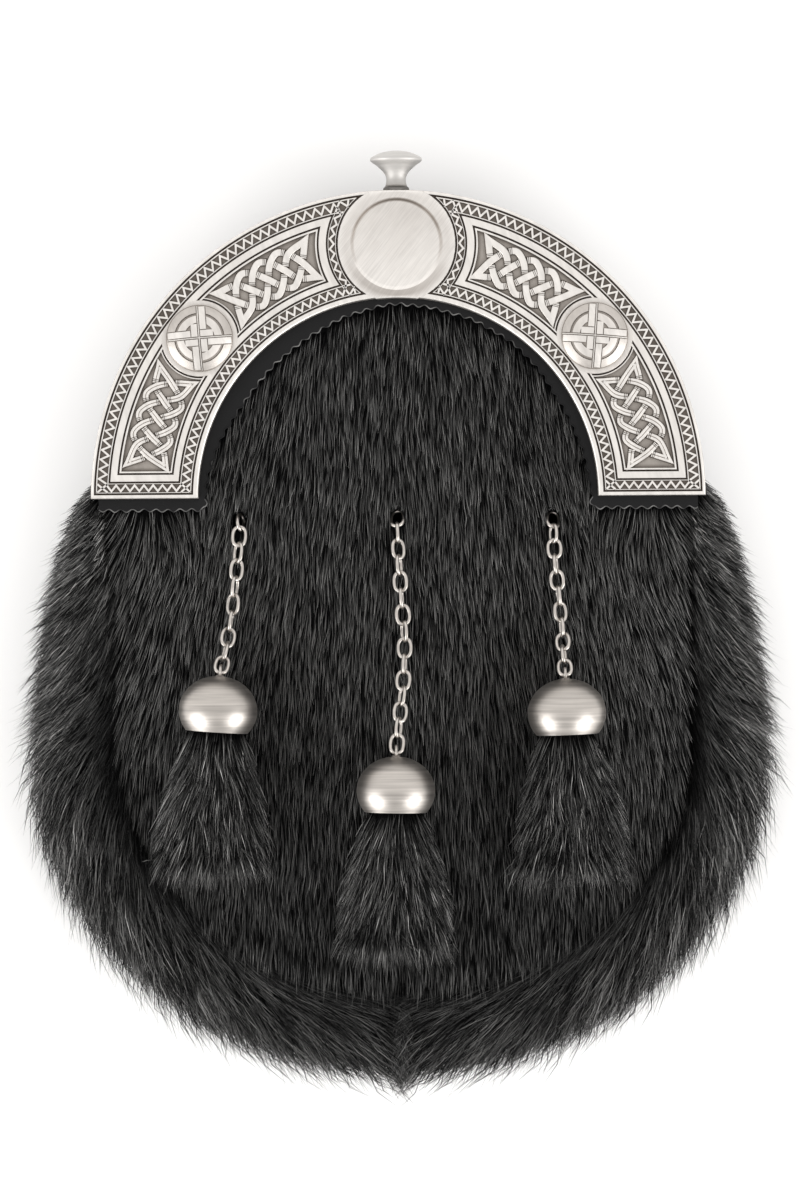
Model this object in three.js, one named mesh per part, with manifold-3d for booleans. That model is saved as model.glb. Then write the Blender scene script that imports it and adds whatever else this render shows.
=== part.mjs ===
// A dress sporran lying on its back: a cast half-ring cantle over a fur pouch with three chain tassels.
// Millimetres. +X is to the right of the front, +Y runs up the pouch and +Z comes out of the front.
// Sizes are given about the centre of the cantle's circle, and the finished group is moved so that
// its box is centred in X and Y and stands on Z = 0.

import * as THREE from "three";
import { mergeVertices } from "three/addons/utils/BufferGeometryUtils.js";
import Module from "manifold-3d";

const wasm = await Module();
wasm.setup();

// Cantle: a half ring whose legs are cut flat along y = 0, with its relief standing on a base plate
const RING = { outer: 75, inner: 48.8, steps: 24 };
const CANTLE_BACK = 32.1;
const BASE_HIGH = 2.3;
const FACE_HIGH = 3.2;
const EMBED = 0.4;
// Slivers left by joining the relief are merged up to this size
const SLIVER = 0.2;
const ROUNDEL = { y: 61.8, radius: 14.4, high: 3.5, dish: 10.9, dishFloor: 2.6, bevel: 0.6, sides: 24 };
const BOSS = { at: 62, angle: 39, turn: -4.5, radius: 8.2, seat: 9.9, high: 2.6, sides: 12 };
const BOSS_BAR = { half: 1.3, raise: 0.5 };
const BOSS_ROWS = [1, 0.9, 0.7, 0.4];
const CLASP_LUG = { wide: 9, low: 73.7, high: 75.9, deep: 3.1 };

// Nested contours of the field on each half of the cantle, from the rim in to the knotwork panels:
// radii of the outer and inner arcs, height of the leg line and radius about the roundel
const CONTOURS = {
  teethRoot: { outer: 73.5, inner: 50.5, leg: 1.3, roundel: 14.4 },
  teethTip: { outer: 70.9, inner: 53.2, leg: 3.7, roundel: 16.7 },
  band: { outer: 70.4, inner: 53.7, leg: 4.2, roundel: 17.2 },
  window: { outer: 67.8, inner: 55.9, leg: 6.8, roundel: 19.9 },
};

// Pointed teeth and plain steps along each side of the field
const TEETH = { outer: 17, roundel: 3, inner: 12, leg: 4 };
const FIELD_STEPS = { outer: 9, roundel: 3, inner: 7, leg: 1 };

// Knotwork: a four-strand plait laid out by half columns and levels across the panel
const PLAIT = { radius: 61.85, angles: [18.4, 59.5], column: 2.34, halfWide: 0.72 };
const PLAIT_LEVEL = [0, 2.9, 4.4, 5.0];
const PLAIT_HIGH = { over: 3.4, turn: 3.05, under: 2.7 };
const PLAIT_SHORT = 0.32;
const PLAIT_RUNS = [
  { columns: [-5, -3, -2, -1, 0, 1, 2, 3, 5], levels: [3, 1, 0, -1, -2, -1, 0, 1, 3] },
  { columns: [5, 4, 3, 2, 1, 0, -1, -2, -3, -4, -5], levels: [3, 0, -1, -2, -1, 0, 1, 2, 1, 0, -3] },
];

// Knob on the top edge: radius of the turned profile at each height above the edge
const KNOB = { foot: 76.5, z: CANTLE_BACK, sides: 12 };
const KNOB_PROFILE = [
  { high: 0, radius: 3.15 },
  { high: 1.1, radius: 3.15 },
  { high: 1.1, radius: 2.4 },
  { high: 3.6, radius: 2.4 },
  { high: 5.6, radius: 3.6 },
  { high: 6.9, radius: 6.35 },
  { high: 7.5, radius: 6.35 },
  { high: 8.1, radius: 4.6 },
];

// Pouch outline: an arch, straight sides and a half-ellipse bottom, between the back and front panels
const POUCH = { half: 71, straight: 60, bottom: 59 };
const BACK = { low: 8, high: 10 };
const FRONT = { face: 30.3, thick: 2.5 };
const MOUTH_HALF_ANGLE = 40;
const CROWN_REACH = { arch: 43.5, spread: 1 };
const CROWN = [
  { y: -119, high: 0 },
  { y: -112, high: 1.2 },
  { y: -95, high: 3.8 },
  { y: -60, high: 6 },
  { y: -25, high: 5 },
  { y: 10, high: 2.4 },
  { y: CROWN_REACH.arch, high: 0 },
  { y: 71, high: 0 },
];
const END_ANGLE = 86;
const CHAIN_HOLE = 2.3;

// Fur of the gusset: depth beyond the outline by distance along the seam from the cantle's leg
const FUR_DEPTH = [
  { along: 0, deep: 4.5 },
  { along: 14, deep: 11 },
  { along: 30, deep: 15 },
  { along: 60, deep: 19 },
  { along: 110, deep: 21.5 },
  { along: 162, deep: 24 },
];
const FUR_FADE = { top: -3.3, full: -12 };
const LOCK_DIP = 0.86;
// Gusset section, outside then inside: share of the fur's depth, offset from the seam and height,
// with the plain hide's own place at the same point
const GUSSET_SECTION = [
  { share: 0.3, off: 0, z: 33, hideOff: 1, hideZ: 29.5, lock: true },
  { share: 0.8, off: 0, z: 29, hideOff: 2.8, hideZ: 29.5, lock: true },
  { share: 1, off: 0, z: 19, hideOff: 2.8, hideZ: 19, lock: true },
  { share: 0.85, off: 0, z: 8, hideOff: 2.8, hideZ: 9, lock: true },
  { share: 0.5, off: 0, z: 0, hideOff: 2.8, hideZ: 8, lock: false },
  { share: 0.05, off: 0, z: 0, hideOff: 1.8, hideZ: 8, lock: false },
  { share: 0, off: -3, z: 7.4, hideOff: 1, hideZ: 8, lock: false },
  { share: 0, off: 0.6, z: 7.6, hideOff: 0.6, hideZ: 8, lock: false },
  { share: 0.15, off: 0.6, z: 19, hideOff: 0.6, hideZ: 19, lock: false },
  { share: 0, off: 0.6, z: 28, hideOff: 0.6, hideZ: 29.5, lock: false },
];
const GUSSET_STEPS = { arch: 5, side: 6, curve: 12 };

// Leather under the cantle: margin inside the arch and below the legs, with a wavy cut edge
const BACKING = { low: 30.6, high: 31.8, outer: 73.3, below: 2.7, topMargin: 1.5, sideMargin: 3 };
const WAVE = { pitch: 2.9, deep: 0.45 };

// Strap keeper behind the back panel: a bridge of leather seen from its side
const KEEPER = { wide: 40, thick: 1.8, high: 7.7, from: -16, to: 46, foot: 8, ramp: 5.5, lean: 1.2 };

// Chains, bells and tassels, from the hole in the front to the middle of the bell
const LINK = { long: 5.6, wide: 3.7, wire: 0.75, pitch: 4.1, sides: 10, wireSides: 5 };
const CHAIN_CLEAR = 2.5;
const PIN = { radius: 0.7, long: 6.6, below: 1.6, rise: 2 };
const BELL = { radius: 9.8, wall: 1.2, cut: 3.7, sides: 12, outSteps: 4, inSteps: 3, rest: 0.4 };
const EYE = { radius: 1.5, wire: 0.8, above: 1 };
const DROPS = [
  { name: "left", hole: [-38.8, -5.4], via: [[-39.4, -16], [-41.3, -32]], bell: [-44.1, -52.7], lean: -4 },
  { name: "middle", hole: [-0.4, -4.9], via: [[0.3, -20], [1.3, -38]], bell: [-1.1, -72.4], lean: -1 },
  { name: "right", hole: [37.7, -5.4], via: [[38.2, -16], [39.6, -32]], bell: [40.5, -53.9], lean: 2 },
];
// Brush of a tassel by its drop below the bell's middle
const BRUSH = [
  { drop: 1, wide: 7.1, thick: 7.1, lock: 0, jag: 0 },
  { drop: 4.5, wide: 7.2, thick: 7.2, lock: 0, jag: 0 },
  { drop: 9, wide: 8.4, thick: 7.6, lock: 0.05, jag: 0 },
  { drop: 19, wide: 11.2, thick: 7.2, lock: 0.07, jag: 0 },
  { drop: 32, wide: 14, thick: 6, lock: 0.09, jag: 0 },
  { drop: 42.5, wide: 15.3, thick: 4.6, lock: 0.1, jag: 2.5 },
];
const BRUSH_SIDES = 16;

const METAL = { color: 0xc9c6c2, roughness: 0.34, metalness: 1 };
const FINISHES = {
  cantle: METAL,
  polished: { ...METAL, roughness: 0.22 },
  bell: { color: 0x9a948c, roughness: 0.36, metalness: 1 },
  fur: { color: 0x0d0d0e, roughness: 0.6, metalness: 0 },
  leather: { color: 0x141414, roughness: 0.55, metalness: 0 },
};

const MERGE = 1e-4;
const radians = THREE.MathUtils.degToRad;
const mix = THREE.MathUtils.lerp;

// Solid from a closed geometry, with its corners merged and its faces turned outwards
function toSolid(geometry) {
  const bare = new THREE.BufferGeometry();
  bare.setAttribute("position", geometry.getAttribute("position").clone());
  if (geometry.index) bare.setIndex(geometry.index.clone());
  const merged = mergeVertices(bare, MERGE);
  const places = merged.getAttribute("position");
  const corner = [new THREE.Vector3(), new THREE.Vector3(), new THREE.Vector3()];
  const faces = [];
  let volume = 0;
  for (let i = 0; i < merged.index.count; i += 3) {
    const face = [0, 1, 2].map((k) => merged.index.getX(i + k));
    if (new Set(face).size < 3) continue;
    faces.push(face);
    face.forEach((at, k) => corner[k].fromBufferAttribute(places, at));
    volume += corner[0].dot(corner[1].clone().cross(corner[2]));
  }
  const outward = volume > 0 ? faces : faces.map(([a, b, c]) => [a, c, b]);
  const mesh = { numProp: 3, vertProperties: places.array, triVerts: new Uint32Array(outward.flat()) };
  return new wasm.Manifold(new wasm.Mesh(mesh));
}

function toGeometry(solid) {
  const mesh = solid.getMesh();
  const geometry = new THREE.BufferGeometry();
  geometry.setAttribute("position", new THREE.BufferAttribute(new Float32Array(mesh.vertProperties), 3));
  geometry.setIndex(new THREE.BufferAttribute(new Uint32Array(mesh.triVerts), 1));
  geometry.computeVertexNormals();
  return geometry;
}

// Solid through a row of like sections, closed at each end by a fan of faces from its first point
function loft(rings) {
  const size = rings[0].length;
  const points = rings.flat();
  const index = [];
  for (let r = 0; r + 1 < rings.length; r += 1) {
    for (let k = 0; k < size; k += 1) {
      const a = r * size + k;
      const b = r * size + ((k + 1) % size);
      index.push(a, b, b + size, a, b + size, a + size);
    }
  }
  for (let k = 1; k + 1 < size; k += 1) {
    const last = (rings.length - 1) * size;
    index.push(0, k + 1, k, last, last + k, last + k + 1);
  }
  const geometry = new THREE.BufferGeometry().setFromPoints(points);
  geometry.setIndex(index);
  return toSolid(geometry);
}

function plate(outline, low, high, holes = []) {
  const forward = THREE.ShapeUtils.isClockWise(outline) ? [...outline].reverse() : outline;
  const shape = new THREE.Shape(forward);
  holes.forEach((hole) => shape.holes.push(new THREE.Path(hole)));
  const geometry = new THREE.ExtrudeGeometry(shape, { depth: high - low, bevelEnabled: false });
  return toSolid(geometry.translate(0, 0, low));
}

function disc(x, y, radius, low, high, sides) {
  const geometry = new THREE.CylinderGeometry(radius, radius, high - low, sides);
  geometry.rotateX(Math.PI / 2);
  return toSolid(geometry.translate(x, y, (low + high) / 2));
}

// Height of a table's column at a place along it
function readTable(rows, key, value, at) {
  const above = rows.findIndex((row) => row[key] >= at);
  if (above === 0) return rows[0][value];
  if (above < 0) return rows[rows.length - 1][value];
  const [low, high] = [rows[above - 1], rows[above]];
  return mix(low[value], high[value], (at - low[key]) / (high[key] - low[key]));
}

function polar(radius, angle, side = 1) {
  return new THREE.Vector2(side * radius * Math.cos(angle), radius * Math.sin(angle));
}

// Angle, about the cantle's centre, at which an arc meets the roundel's circle
function roundelAngle(radius, roundel) {
  const across = (radius ** 2 + ROUNDEL.y ** 2 - roundel ** 2) / (2 * radius * ROUNDEL.y);
  return Math.PI / 2 - Math.acos(across);
}

// Point on one side of a field contour, at a share of that side's length
function contourPoint(contour, edge, share, side) {
  const start = (radius) => Math.asin(contour.leg / radius);
  const end = (radius) => roundelAngle(radius, contour.roundel);
  if (edge === "outer" || edge === "inner") {
    const radius = contour[edge];
    return polar(radius, mix(start(radius), end(radius), share), side);
  }
  if (edge === "leg") {
    const from = polar(contour.inner, start(contour.inner), side);
    return from.lerp(polar(contour.outer, start(contour.outer), side), share);
  }
  const turn = (radius) => {
    const point = polar(radius, end(radius));
    return Math.atan2(point.y - ROUNDEL.y, point.x);
  };
  const point = polar(contour.roundel, mix(turn(contour.outer), turn(contour.inner), share), side);
  return point.add(new THREE.Vector2(0, ROUNDEL.y));
}

// Closed outline round the field, with a contour chosen for each step along its sides
function fieldOutline(side, steps, contourAt) {
  return ["outer", "roundel", "inner", "leg"].flatMap((edge) =>
    Array.from({ length: steps[edge] }, (_, i) => {
      const share = edge === "inner" ? 1 - i / steps[edge] : i / steps[edge];
      return contourPoint(contourAt(i), edge, share, side);
    }),
  );
}

function contourOutline(contour, side) {
  return fieldOutline(side, FIELD_STEPS, () => contour);
}

// The rim's opening: a row of teeth points in all round the field
function teethOutline(side) {
  const steps = Object.fromEntries(Object.keys(TEETH).map((edge) => [edge, 2 * TEETH[edge]]));
  return fieldOutline(side, steps, (i) => (i % 2 === 0 ? CONTOURS.teethRoot : CONTOURS.teethTip));
}

// Half-ring outline with its legs on a level line
function halfRing(outer, inner, steps) {
  const arc = (radius, back) =>
    Array.from({ length: steps + 1 }, (_, i) => polar(radius, Math.PI * (back ? 1 - i / steps : i / steps)));
  return [...arc(outer, false), ...arc(inner, true)];
}

// The plait's one closed strand as nodes with a place and a height, marked where it passes under
function plaitNodes(angle, side) {
  const runs = [1, -1].flatMap((flip) => PLAIT_RUNS.map(({ columns, levels }) =>
    columns.map((column, i) => ({ column, level: flip * levels[i] })).slice(0, -1)));
  const loop = runs.flat();
  return loop.map(({ column, level }, i) => {
    const before = loop[(i + loop.length - 1) % loop.length];
    const after = loop[(i + 1) % loop.length];
    const slope = (after.level - before.level) * (after.column - before.column);
    const depth = Math.abs(level);
    const crossing = depth < 2;
    const under = crossing && (depth === 0 ? slope > 0 : slope < 0);
    const radius = PLAIT.radius + Math.sign(level) * PLAIT_LEVEL[depth];
    const place = polar(radius, radians(angle) + (column * PLAIT.column) / PLAIT.radius, side);
    return { place, under, high: crossing ? PLAIT_HIGH.over : PLAIT_HIGH.turn };
  });
}

// Roof-shaped ribbon through a row of nodes
function ribbon(nodes) {
  return loft(nodes.map(({ place, high }, i) => {
    const before = nodes[Math.max(i - 1, 0)].place;
    const after = nodes[Math.min(i + 1, nodes.length - 1)].place;
    const ahead = after.clone().sub(place).normalize();
    const along = place.clone().sub(before).normalize().add(ahead).normalize();
    const across = new THREE.Vector2(-along.y, along.x).multiplyScalar(PLAIT.halfWide);
    return [
      new THREE.Vector3(place.x - across.x, place.y - across.y, BASE_HIGH - EMBED),
      new THREE.Vector3(place.x, place.y, high),
      new THREE.Vector3(place.x + across.x, place.y + across.y, BASE_HIGH - EMBED),
    ];
  }));
}

// Plait of ribbons, each running over one or more crossings and stopping short of where it dips under
function plait(angle, side) {
  const nodes = plaitNodes(angle, side);
  const short = (from, to) => {
    return { place: from.place.clone().lerp(to.place, PLAIT_SHORT), high: PLAIT_HIGH.under };
  };
  const first = nodes.findIndex((node) => node.under);
  const turned = [...nodes.slice(first), ...nodes.slice(0, first + 1)];
  const ribbons = [];
  let current = [];
  turned.forEach((node, i) => {
    if (!node.under) {
      current.push(node);
      return;
    }
    if (i > 0) ribbons.push(ribbon([...current, short(node, turned[i - 1])]));
    if (i + 1 < turned.length) current = [short(node, turned[i + 1])];
  });
  return ribbons;
}

// Domed boss with a raised cross
function boss(side) {
  const place = polar(BOSS.at, radians(BOSS.angle), side);
  const rise = (radius) => BOSS.high * Math.sqrt(Math.max(1 - (radius / BOSS.radius) ** 2, 0));
  const turned = BOSS_ROWS.map((share) => new THREE.Vector2(share * BOSS.radius, rise(share * BOSS.radius)));
  const profile = [new THREE.Vector2(0, -EMBED), new THREE.Vector2(BOSS.radius, -EMBED), ...turned];
  const body = new THREE.LatheGeometry([...profile, new THREE.Vector2(0, BOSS.high)], BOSS.sides);
  body.rotateX(Math.PI / 2).translate(place.x, place.y, FACE_HIGH);
  const bars = [0, 90].map((turn) => {
    const along = polar(1, radians(BOSS.turn + turn), side);
    return loft([-0.97, -0.6, 0, 0.6, 0.97].map((share) => {
      const reach = share * BOSS.radius;
      const top = FACE_HIGH + rise(reach);
      const low = top - 1.5 * EMBED;
      const spot = (offset, z) => new THREE.Vector3(
        place.x + along.x * reach - along.y * offset,
        place.y + along.y * reach + along.x * offset,
        z,
      );
      return [spot(-BOSS_BAR.half, low), spot(0, top + BOSS_BAR.raise), spot(BOSS_BAR.half, low)];
    }));
  });
  return wasm.Manifold.union([toSolid(body), ...bars]);
}

// Sunk parts of one half's field: the toothed groove and the knotwork window round the boss's seat
function sunkField(side) {
  const seat = polar(BOSS.at, radians(BOSS.angle), side);
  const above = FACE_HIGH + 1;
  const groove = plate(teethOutline(side), BASE_HIGH, above, [contourOutline(CONTOURS.band, side)]);
  const window = plate(contourOutline(CONTOURS.window, side), BASE_HIGH, above);
  return groove.add(window).subtract(disc(seat.x, seat.y, BOSS.seat, 0, 2 * above, BOSS.sides));
}

function cantle() {
  const outline = halfRing(RING.outer, RING.inner, RING.steps);
  const field = plate(outline, 0, FACE_HIGH).subtract(sunkField(1)).subtract(sunkField(-1));
  const roundel = disc(0, ROUNDEL.y, ROUNDEL.radius, 0, ROUNDEL.high, ROUNDEL.sides);
  const lugShape = new THREE.BoxGeometry(CLASP_LUG.wide, CLASP_LUG.high - CLASP_LUG.low, CLASP_LUG.deep + 1);
  const lug = lugShape.translate(0, (CLASP_LUG.low + CLASP_LUG.high) / 2, (1 - CLASP_LUG.deep) / 2);
  const pieces = [field, roundel, toSolid(lug)];
  [1, -1].forEach((side) => {
    pieces.push(boss(side));
    PLAIT.angles.forEach((angle) => pieces.push(...plait(angle, side)));
  });
  const bowl = new THREE.CylinderGeometry(
    ROUNDEL.dish, ROUNDEL.dish - ROUNDEL.bevel, ROUNDEL.high - ROUNDEL.dishFloor, ROUNDEL.sides,
  );
  bowl.rotateX(Math.PI / 2);
  bowl.translate(0, ROUNDEL.y, (ROUNDEL.high + ROUNDEL.dishFloor) / 2);
  return wasm.Manifold.union(pieces).subtract(toSolid(bowl)).simplify(SLIVER);
}

function knob() {
  const turned = KNOB_PROFILE.map(({ high, radius }) => new THREE.Vector2(radius, high));
  const last = KNOB_PROFILE[KNOB_PROFILE.length - 1];
  const profile = [new THREE.Vector2(0, 0), ...turned, new THREE.Vector2(0, last.high)];
  return toSolid(new THREE.LatheGeometry(profile, KNOB.sides).translate(0, KNOB.foot, KNOB.z));
}

// Leather plate with a wavy edge that follows the arch's inside and passes below the legs
function backing() {
  const wave = (i) => (i % 2 === 0 ? WAVE.deep : -WAVE.deep);
  const inner = (angle) => RING.inner - mix(BACKING.sideMargin, BACKING.topMargin, Math.sin(angle));
  const archSteps = 2 * Math.round((Math.PI * inner(0)) / WAVE.pitch / 2);
  const arch = Array.from({ length: archSteps + 1 }, (_, i) => {
    const angle = Math.PI * (1 - i / archSteps);
    return polar(inner(angle) + wave(i), angle);
  });
  const legSteps = 2 * Math.round((BACKING.outer - inner(0)) / WAVE.pitch / 2);
  const foot = (side) => Array.from({ length: legSteps + 1 }, (_, i) => {
    const x = mix(inner(0), BACKING.outer, i / legSteps);
    return new THREE.Vector2(side * x, -BACKING.below - wave(i));
  });
  const outer = Array.from({ length: RING.steps + 1 }, (_, i) => {
    return polar(BACKING.outer, (Math.PI * i) / RING.steps);
  });
  const outline = [...outer, ...foot(-1).reverse(), ...arch, ...foot(1)];
  return plate(outline, BACKING.low, BACKING.high);
}

// Half the pouch's width at a height along it
function halfWidth(y) {
  if (y > 0) return Math.sqrt(Math.max(POUCH.half ** 2 - y ** 2, 0));
  if (y > -POUCH.straight) return POUCH.half;
  const drop = (-POUCH.straight - y) / POUCH.bottom;
  return POUCH.half * Math.sqrt(Math.max(1 - drop ** 2, 0));
}

// How far the front's crown reaches to each side: inside the arch, then spreading below the legs
function crownReach(y) {
  if (y > 0) return Math.sqrt(Math.max(CROWN_REACH.arch ** 2 - y ** 2, 0));
  return Math.min(halfWidth(y), CROWN_REACH.arch - CROWN_REACH.spread * y);
}

// Front face of the fur panel: flat under the cantle and crowned between its legs and below
function faceHeight(x, y) {
  const reach = crownReach(y);
  const across = reach > 0 ? Math.min(Math.abs(x) / reach, 1) : 1;
  return FRONT.face + readTable(CROWN, "y", "high", y) * (1 - across ** 2);
}

// Rows of the pouch outline from its rounded top to its rounded bottom
function outlineRows(steps) {
  const top = Array.from({ length: steps.arch }, (_, i) => {
    return POUCH.half * Math.sin(radians(END_ANGLE) * (1 - i / steps.arch));
  });
  const sides = Array.from({ length: steps.side }, (_, i) => (-POUCH.straight * i) / steps.side);
  const bottom = Array.from({ length: steps.curve + 1 }, (_, i) => {
    return -POUCH.straight - POUCH.bottom * Math.sin((radians(END_ANGLE) * i) / steps.curve);
  });
  return [...top, ...sides, ...bottom];
}

function frontPanel() {
  const rings = outlineRows({ arch: 6, side: 4, curve: 6 }).map((y) => {
    const crown = [-1, -0.55, 0, 0.55, 1].map((u) => u * crownReach(y));
    const columns = [-halfWidth(y), ...crown, halfWidth(y)];
    const face = columns.map((x) => new THREE.Vector3(x, y, faceHeight(x, y)));
    const under = face.map((point) => new THREE.Vector3(point.x, y, point.z - FRONT.thick));
    return [...face, ...under.reverse()];
  });
  const holes = DROPS.map(({ hole }) => disc(...hole, CHAIN_HOLE, BACK.high, 2 * FRONT.face, LINK.sides));
  return loft(rings).subtract(wasm.Manifold.union(holes));
}

function backPanel() {
  const rows = outlineRows({ arch: 7, side: 1, curve: 8 });
  const right = rows.map((y) => new THREE.Vector2(halfWidth(y), y));
  const left = rows.map((y) => new THREE.Vector2(-halfWidth(y), y)).reverse();
  return plate([...right, ...left], BACK.low, BACK.high);
}

// Stations along the seam from the mouth to the middle of the bottom: place, way out and distance
function seamStations() {
  const stations = [];
  const mouth = radians(90 - MOUTH_HALF_ANGLE);
  for (let i = 0; i < GUSSET_STEPS.arch; i += 1) {
    const angle = mouth * (1 - i / GUSSET_STEPS.arch);
    stations.push({ place: polar(POUCH.half, angle), out: polar(1, angle) });
  }
  for (let i = 0; i < GUSSET_STEPS.side; i += 1) {
    const y = (-POUCH.straight * i) / GUSSET_STEPS.side;
    stations.push({ place: new THREE.Vector2(POUCH.half, y), out: new THREE.Vector2(1, 0) });
  }
  for (let i = 0; i <= GUSSET_STEPS.curve; i += 1) {
    const angle = (Math.PI / 2) * (i / GUSSET_STEPS.curve);
    const [across, down] = [Math.cos(angle), Math.sin(angle)];
    const place = new THREE.Vector2(POUCH.half * across, -POUCH.straight - POUCH.bottom * down);
    const out = new THREE.Vector2(POUCH.bottom * across, -POUCH.half * down).normalize();
    stations.push({ place, out });
  }
  let along = 0;
  stations.forEach((station, i) => {
    if (i > 0 && station.place.y < 0) along += station.place.distanceTo(stations[i - 1].place);
    station.along = along;
  });
  return stations;
}

// Fur strip round the pouch: locks that stand in and out by turns on a hide wall
function gusset() {
  const half = seamStations();
  const section = ({ place, out, along }, step, side) => {
    const fade = THREE.MathUtils.smoothstep(-place.y, -FUR_FADE.top, -FUR_FADE.full);
    const deep = readTable(FUR_DEPTH, "along", "deep", along);
    return GUSSET_SECTION.map((row, k) => {
      const dip = row.lock && (step + k) % 2 === 1 ? LOCK_DIP : 1;
      const off = mix(row.hideOff, row.off + row.share * deep * dip, fade);
      const z = mix(row.hideZ, row.z, fade);
      return new THREE.Vector3(side * (place.x + out.x * off), place.y + out.y * off, z);
    });
  };
  const left = half.map((station, i) => section(station, i, -1));
  const right = half.map((station, i) => section(station, i, 1)).reverse().slice(1);
  return loft([...left, ...right]);
}

// Bridge of leather with two stitched feet, drawn from its side and given its width
function keeper() {
  const { thick, high, from, to, foot, ramp, lean } = KEEPER;
  const upper = [[from, high], [from + foot, high], [from + foot + ramp, thick]];
  const lower = [[from, high - thick], [from + foot - lean, high - thick], [from + foot + ramp - lean, 0]];
  const turned = (points) => points.map(([y, z]) => [from + to - y, z]).reverse();
  const outline = [...upper, ...turned(upper), ...turned(lower).reverse(), ...lower.reverse()];
  const shape = new THREE.Shape(outline.map(([y, z]) => new THREE.Vector2(y, z)));
  const geometry = new THREE.ExtrudeGeometry(shape, { depth: KEEPER.wide, bevelEnabled: false });
  geometry.translate(0, 0, -KEEPER.wide / 2);
  const turn = new THREE.Matrix4().makeBasis(
    new THREE.Vector3(0, 1, 0), new THREE.Vector3(0, 0, 1), new THREE.Vector3(1, 0, 0),
  );
  return toSolid(geometry.applyMatrix4(turn));
}

function bellPlace({ bell }) {
  const [x, y] = bell;
  return new THREE.Vector3(x, y, faceHeight(x, y) + BELL.radius + BELL.rest);
}

function eyePlace(drop) {
  const reach = BELL.radius + EYE.above;
  const lean = radians(drop.lean);
  return bellPlace(drop).add(new THREE.Vector3(-Math.sin(lean) * reach, Math.cos(lean) * reach, 0));
}

// Oval link between two joints, turned about its length by a roll
function link(from, to, roll) {
  const span = from.distanceTo(to) + LINK.long - LINK.pitch;
  const half = (LINK.wide - LINK.wire) / 2;
  const geometry = new THREE.TorusGeometry(half, LINK.wire / 2, LINK.wireSides, LINK.sides);
  const places = geometry.getAttribute("position");
  for (let i = 0; i < places.count; i += 1) {
    const x = places.getX(i);
    places.setX(i, x + (Math.sign(x) * (span - LINK.wide)) / 2);
  }
  const along = to.clone().sub(from).normalize();
  const reference = Math.abs(along.z) > 0.9 ? new THREE.Vector3(0, 1, 0) : new THREE.Vector3(0, 0, 1);
  const side = reference.clone().cross(along).normalize();
  const normal = along.clone().cross(side).applyAxisAngle(along, roll);
  const across = normal.clone().cross(along);
  const turn = new THREE.Matrix4().makeBasis(along, across, normal);
  turn.setPosition(from.clone().add(to).multiplyScalar(0.5));
  return toSolid(geometry.applyMatrix4(turn));
}

// Chain from a pin behind the front, out through the hole and along the fur to the bell's eye
function chain(drop) {
  const [x, y] = drop.hole;
  const face = faceHeight(x, y);
  const root = new THREE.Vector3(x, y, face - FRONT.thick - PIN.below);
  const start = new THREE.Vector3(x, y, face + PIN.rise);
  const end = eyePlace(drop);
  const way = drop.via.map(([vx, vy]) => new THREE.Vector3(vx, vy, faceHeight(vx, vy) + CHAIN_CLEAR));
  const route = new THREE.CatmullRomCurve3([start, ...way, end], false, "centripetal");
  const count = Math.round(route.getLength() / LINK.pitch);
  const joints = [root, ...route.getSpacedPoints(count)];
  const links = joints.slice(1).map((joint, i) => {
    const left = count - i;
    return link(joints[i], joint, left * radians(90));
  });
  const pin = new THREE.CylinderGeometry(PIN.radius, PIN.radius, PIN.long, 8);
  pin.rotateZ(Math.PI / 2).translate(root.x, root.y, root.z);
  return wasm.Manifold.union([...links, toSolid(pin)]);
}

function bell(drop) {
  const arc = (radius, steps) => {
    const low = Math.asin(-BELL.cut / radius);
    return Array.from({ length: steps + 1 }, (_, i) => {
      const angle = mix(Math.PI / 2, low, i / steps);
      return new THREE.Vector2(i === 0 ? 0 : radius * Math.cos(angle), radius * Math.sin(angle));
    });
  };
  const inside = arc(BELL.radius - BELL.wall, BELL.inSteps).reverse();
  const profile = [...arc(BELL.radius, BELL.outSteps), ...inside];
  const shell = toSolid(new THREE.LatheGeometry(profile, BELL.sides));
  const ring = new THREE.TorusGeometry(EYE.radius, EYE.wire / 2, LINK.wireSides, LINK.sides);
  ring.rotateY(Math.PI / 2).translate(0, BELL.radius + EYE.above, 0);
  const geometry = toGeometry(shell.add(toSolid(ring)));
  geometry.rotateZ(radians(drop.lean));
  return toSolid(geometry.translate(...bellPlace(drop).toArray()));
}

// Fur brush: fluted locks that spread from the bell and lie on the front
function brush(drop) {
  const middle = bellPlace(drop);
  const lean = radians(drop.lean);
  const rings = BRUSH.map((row) => {
    const x = middle.x + Math.sin(lean) * row.drop;
    const y = middle.y - Math.cos(lean) * row.drop;
    const across = [-1, -0.5, 0, 0.5, 1].map((u) => faceHeight(x + u * row.wide, y));
    const rest = Math.max(...across) + row.thick * (1 + row.lock) + BELL.rest;
    const z = row.lock === 0 ? middle.z : rest;
    return Array.from({ length: BRUSH_SIDES }, (_, k) => {
      const angle = (2 * Math.PI * k) / BRUSH_SIDES;
      const by = k % 2 === 0 ? 1 : -1;
      const swell = 1 + by * row.lock;
      return new THREE.Vector3(
        x + swell * row.wide * Math.cos(angle),
        y - by * row.jag,
        z + swell * row.thick * Math.sin(angle),
      );
    });
  });
  return loft(rings);
}

const group = new THREE.Group();

function addPiece(name, solid, finish, z = 0) {
  const mesh = new THREE.Mesh(toGeometry(solid), new THREE.MeshStandardMaterial(finish));
  mesh.name = name;
  mesh.position.z = z;
  group.add(mesh);
}

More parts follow.
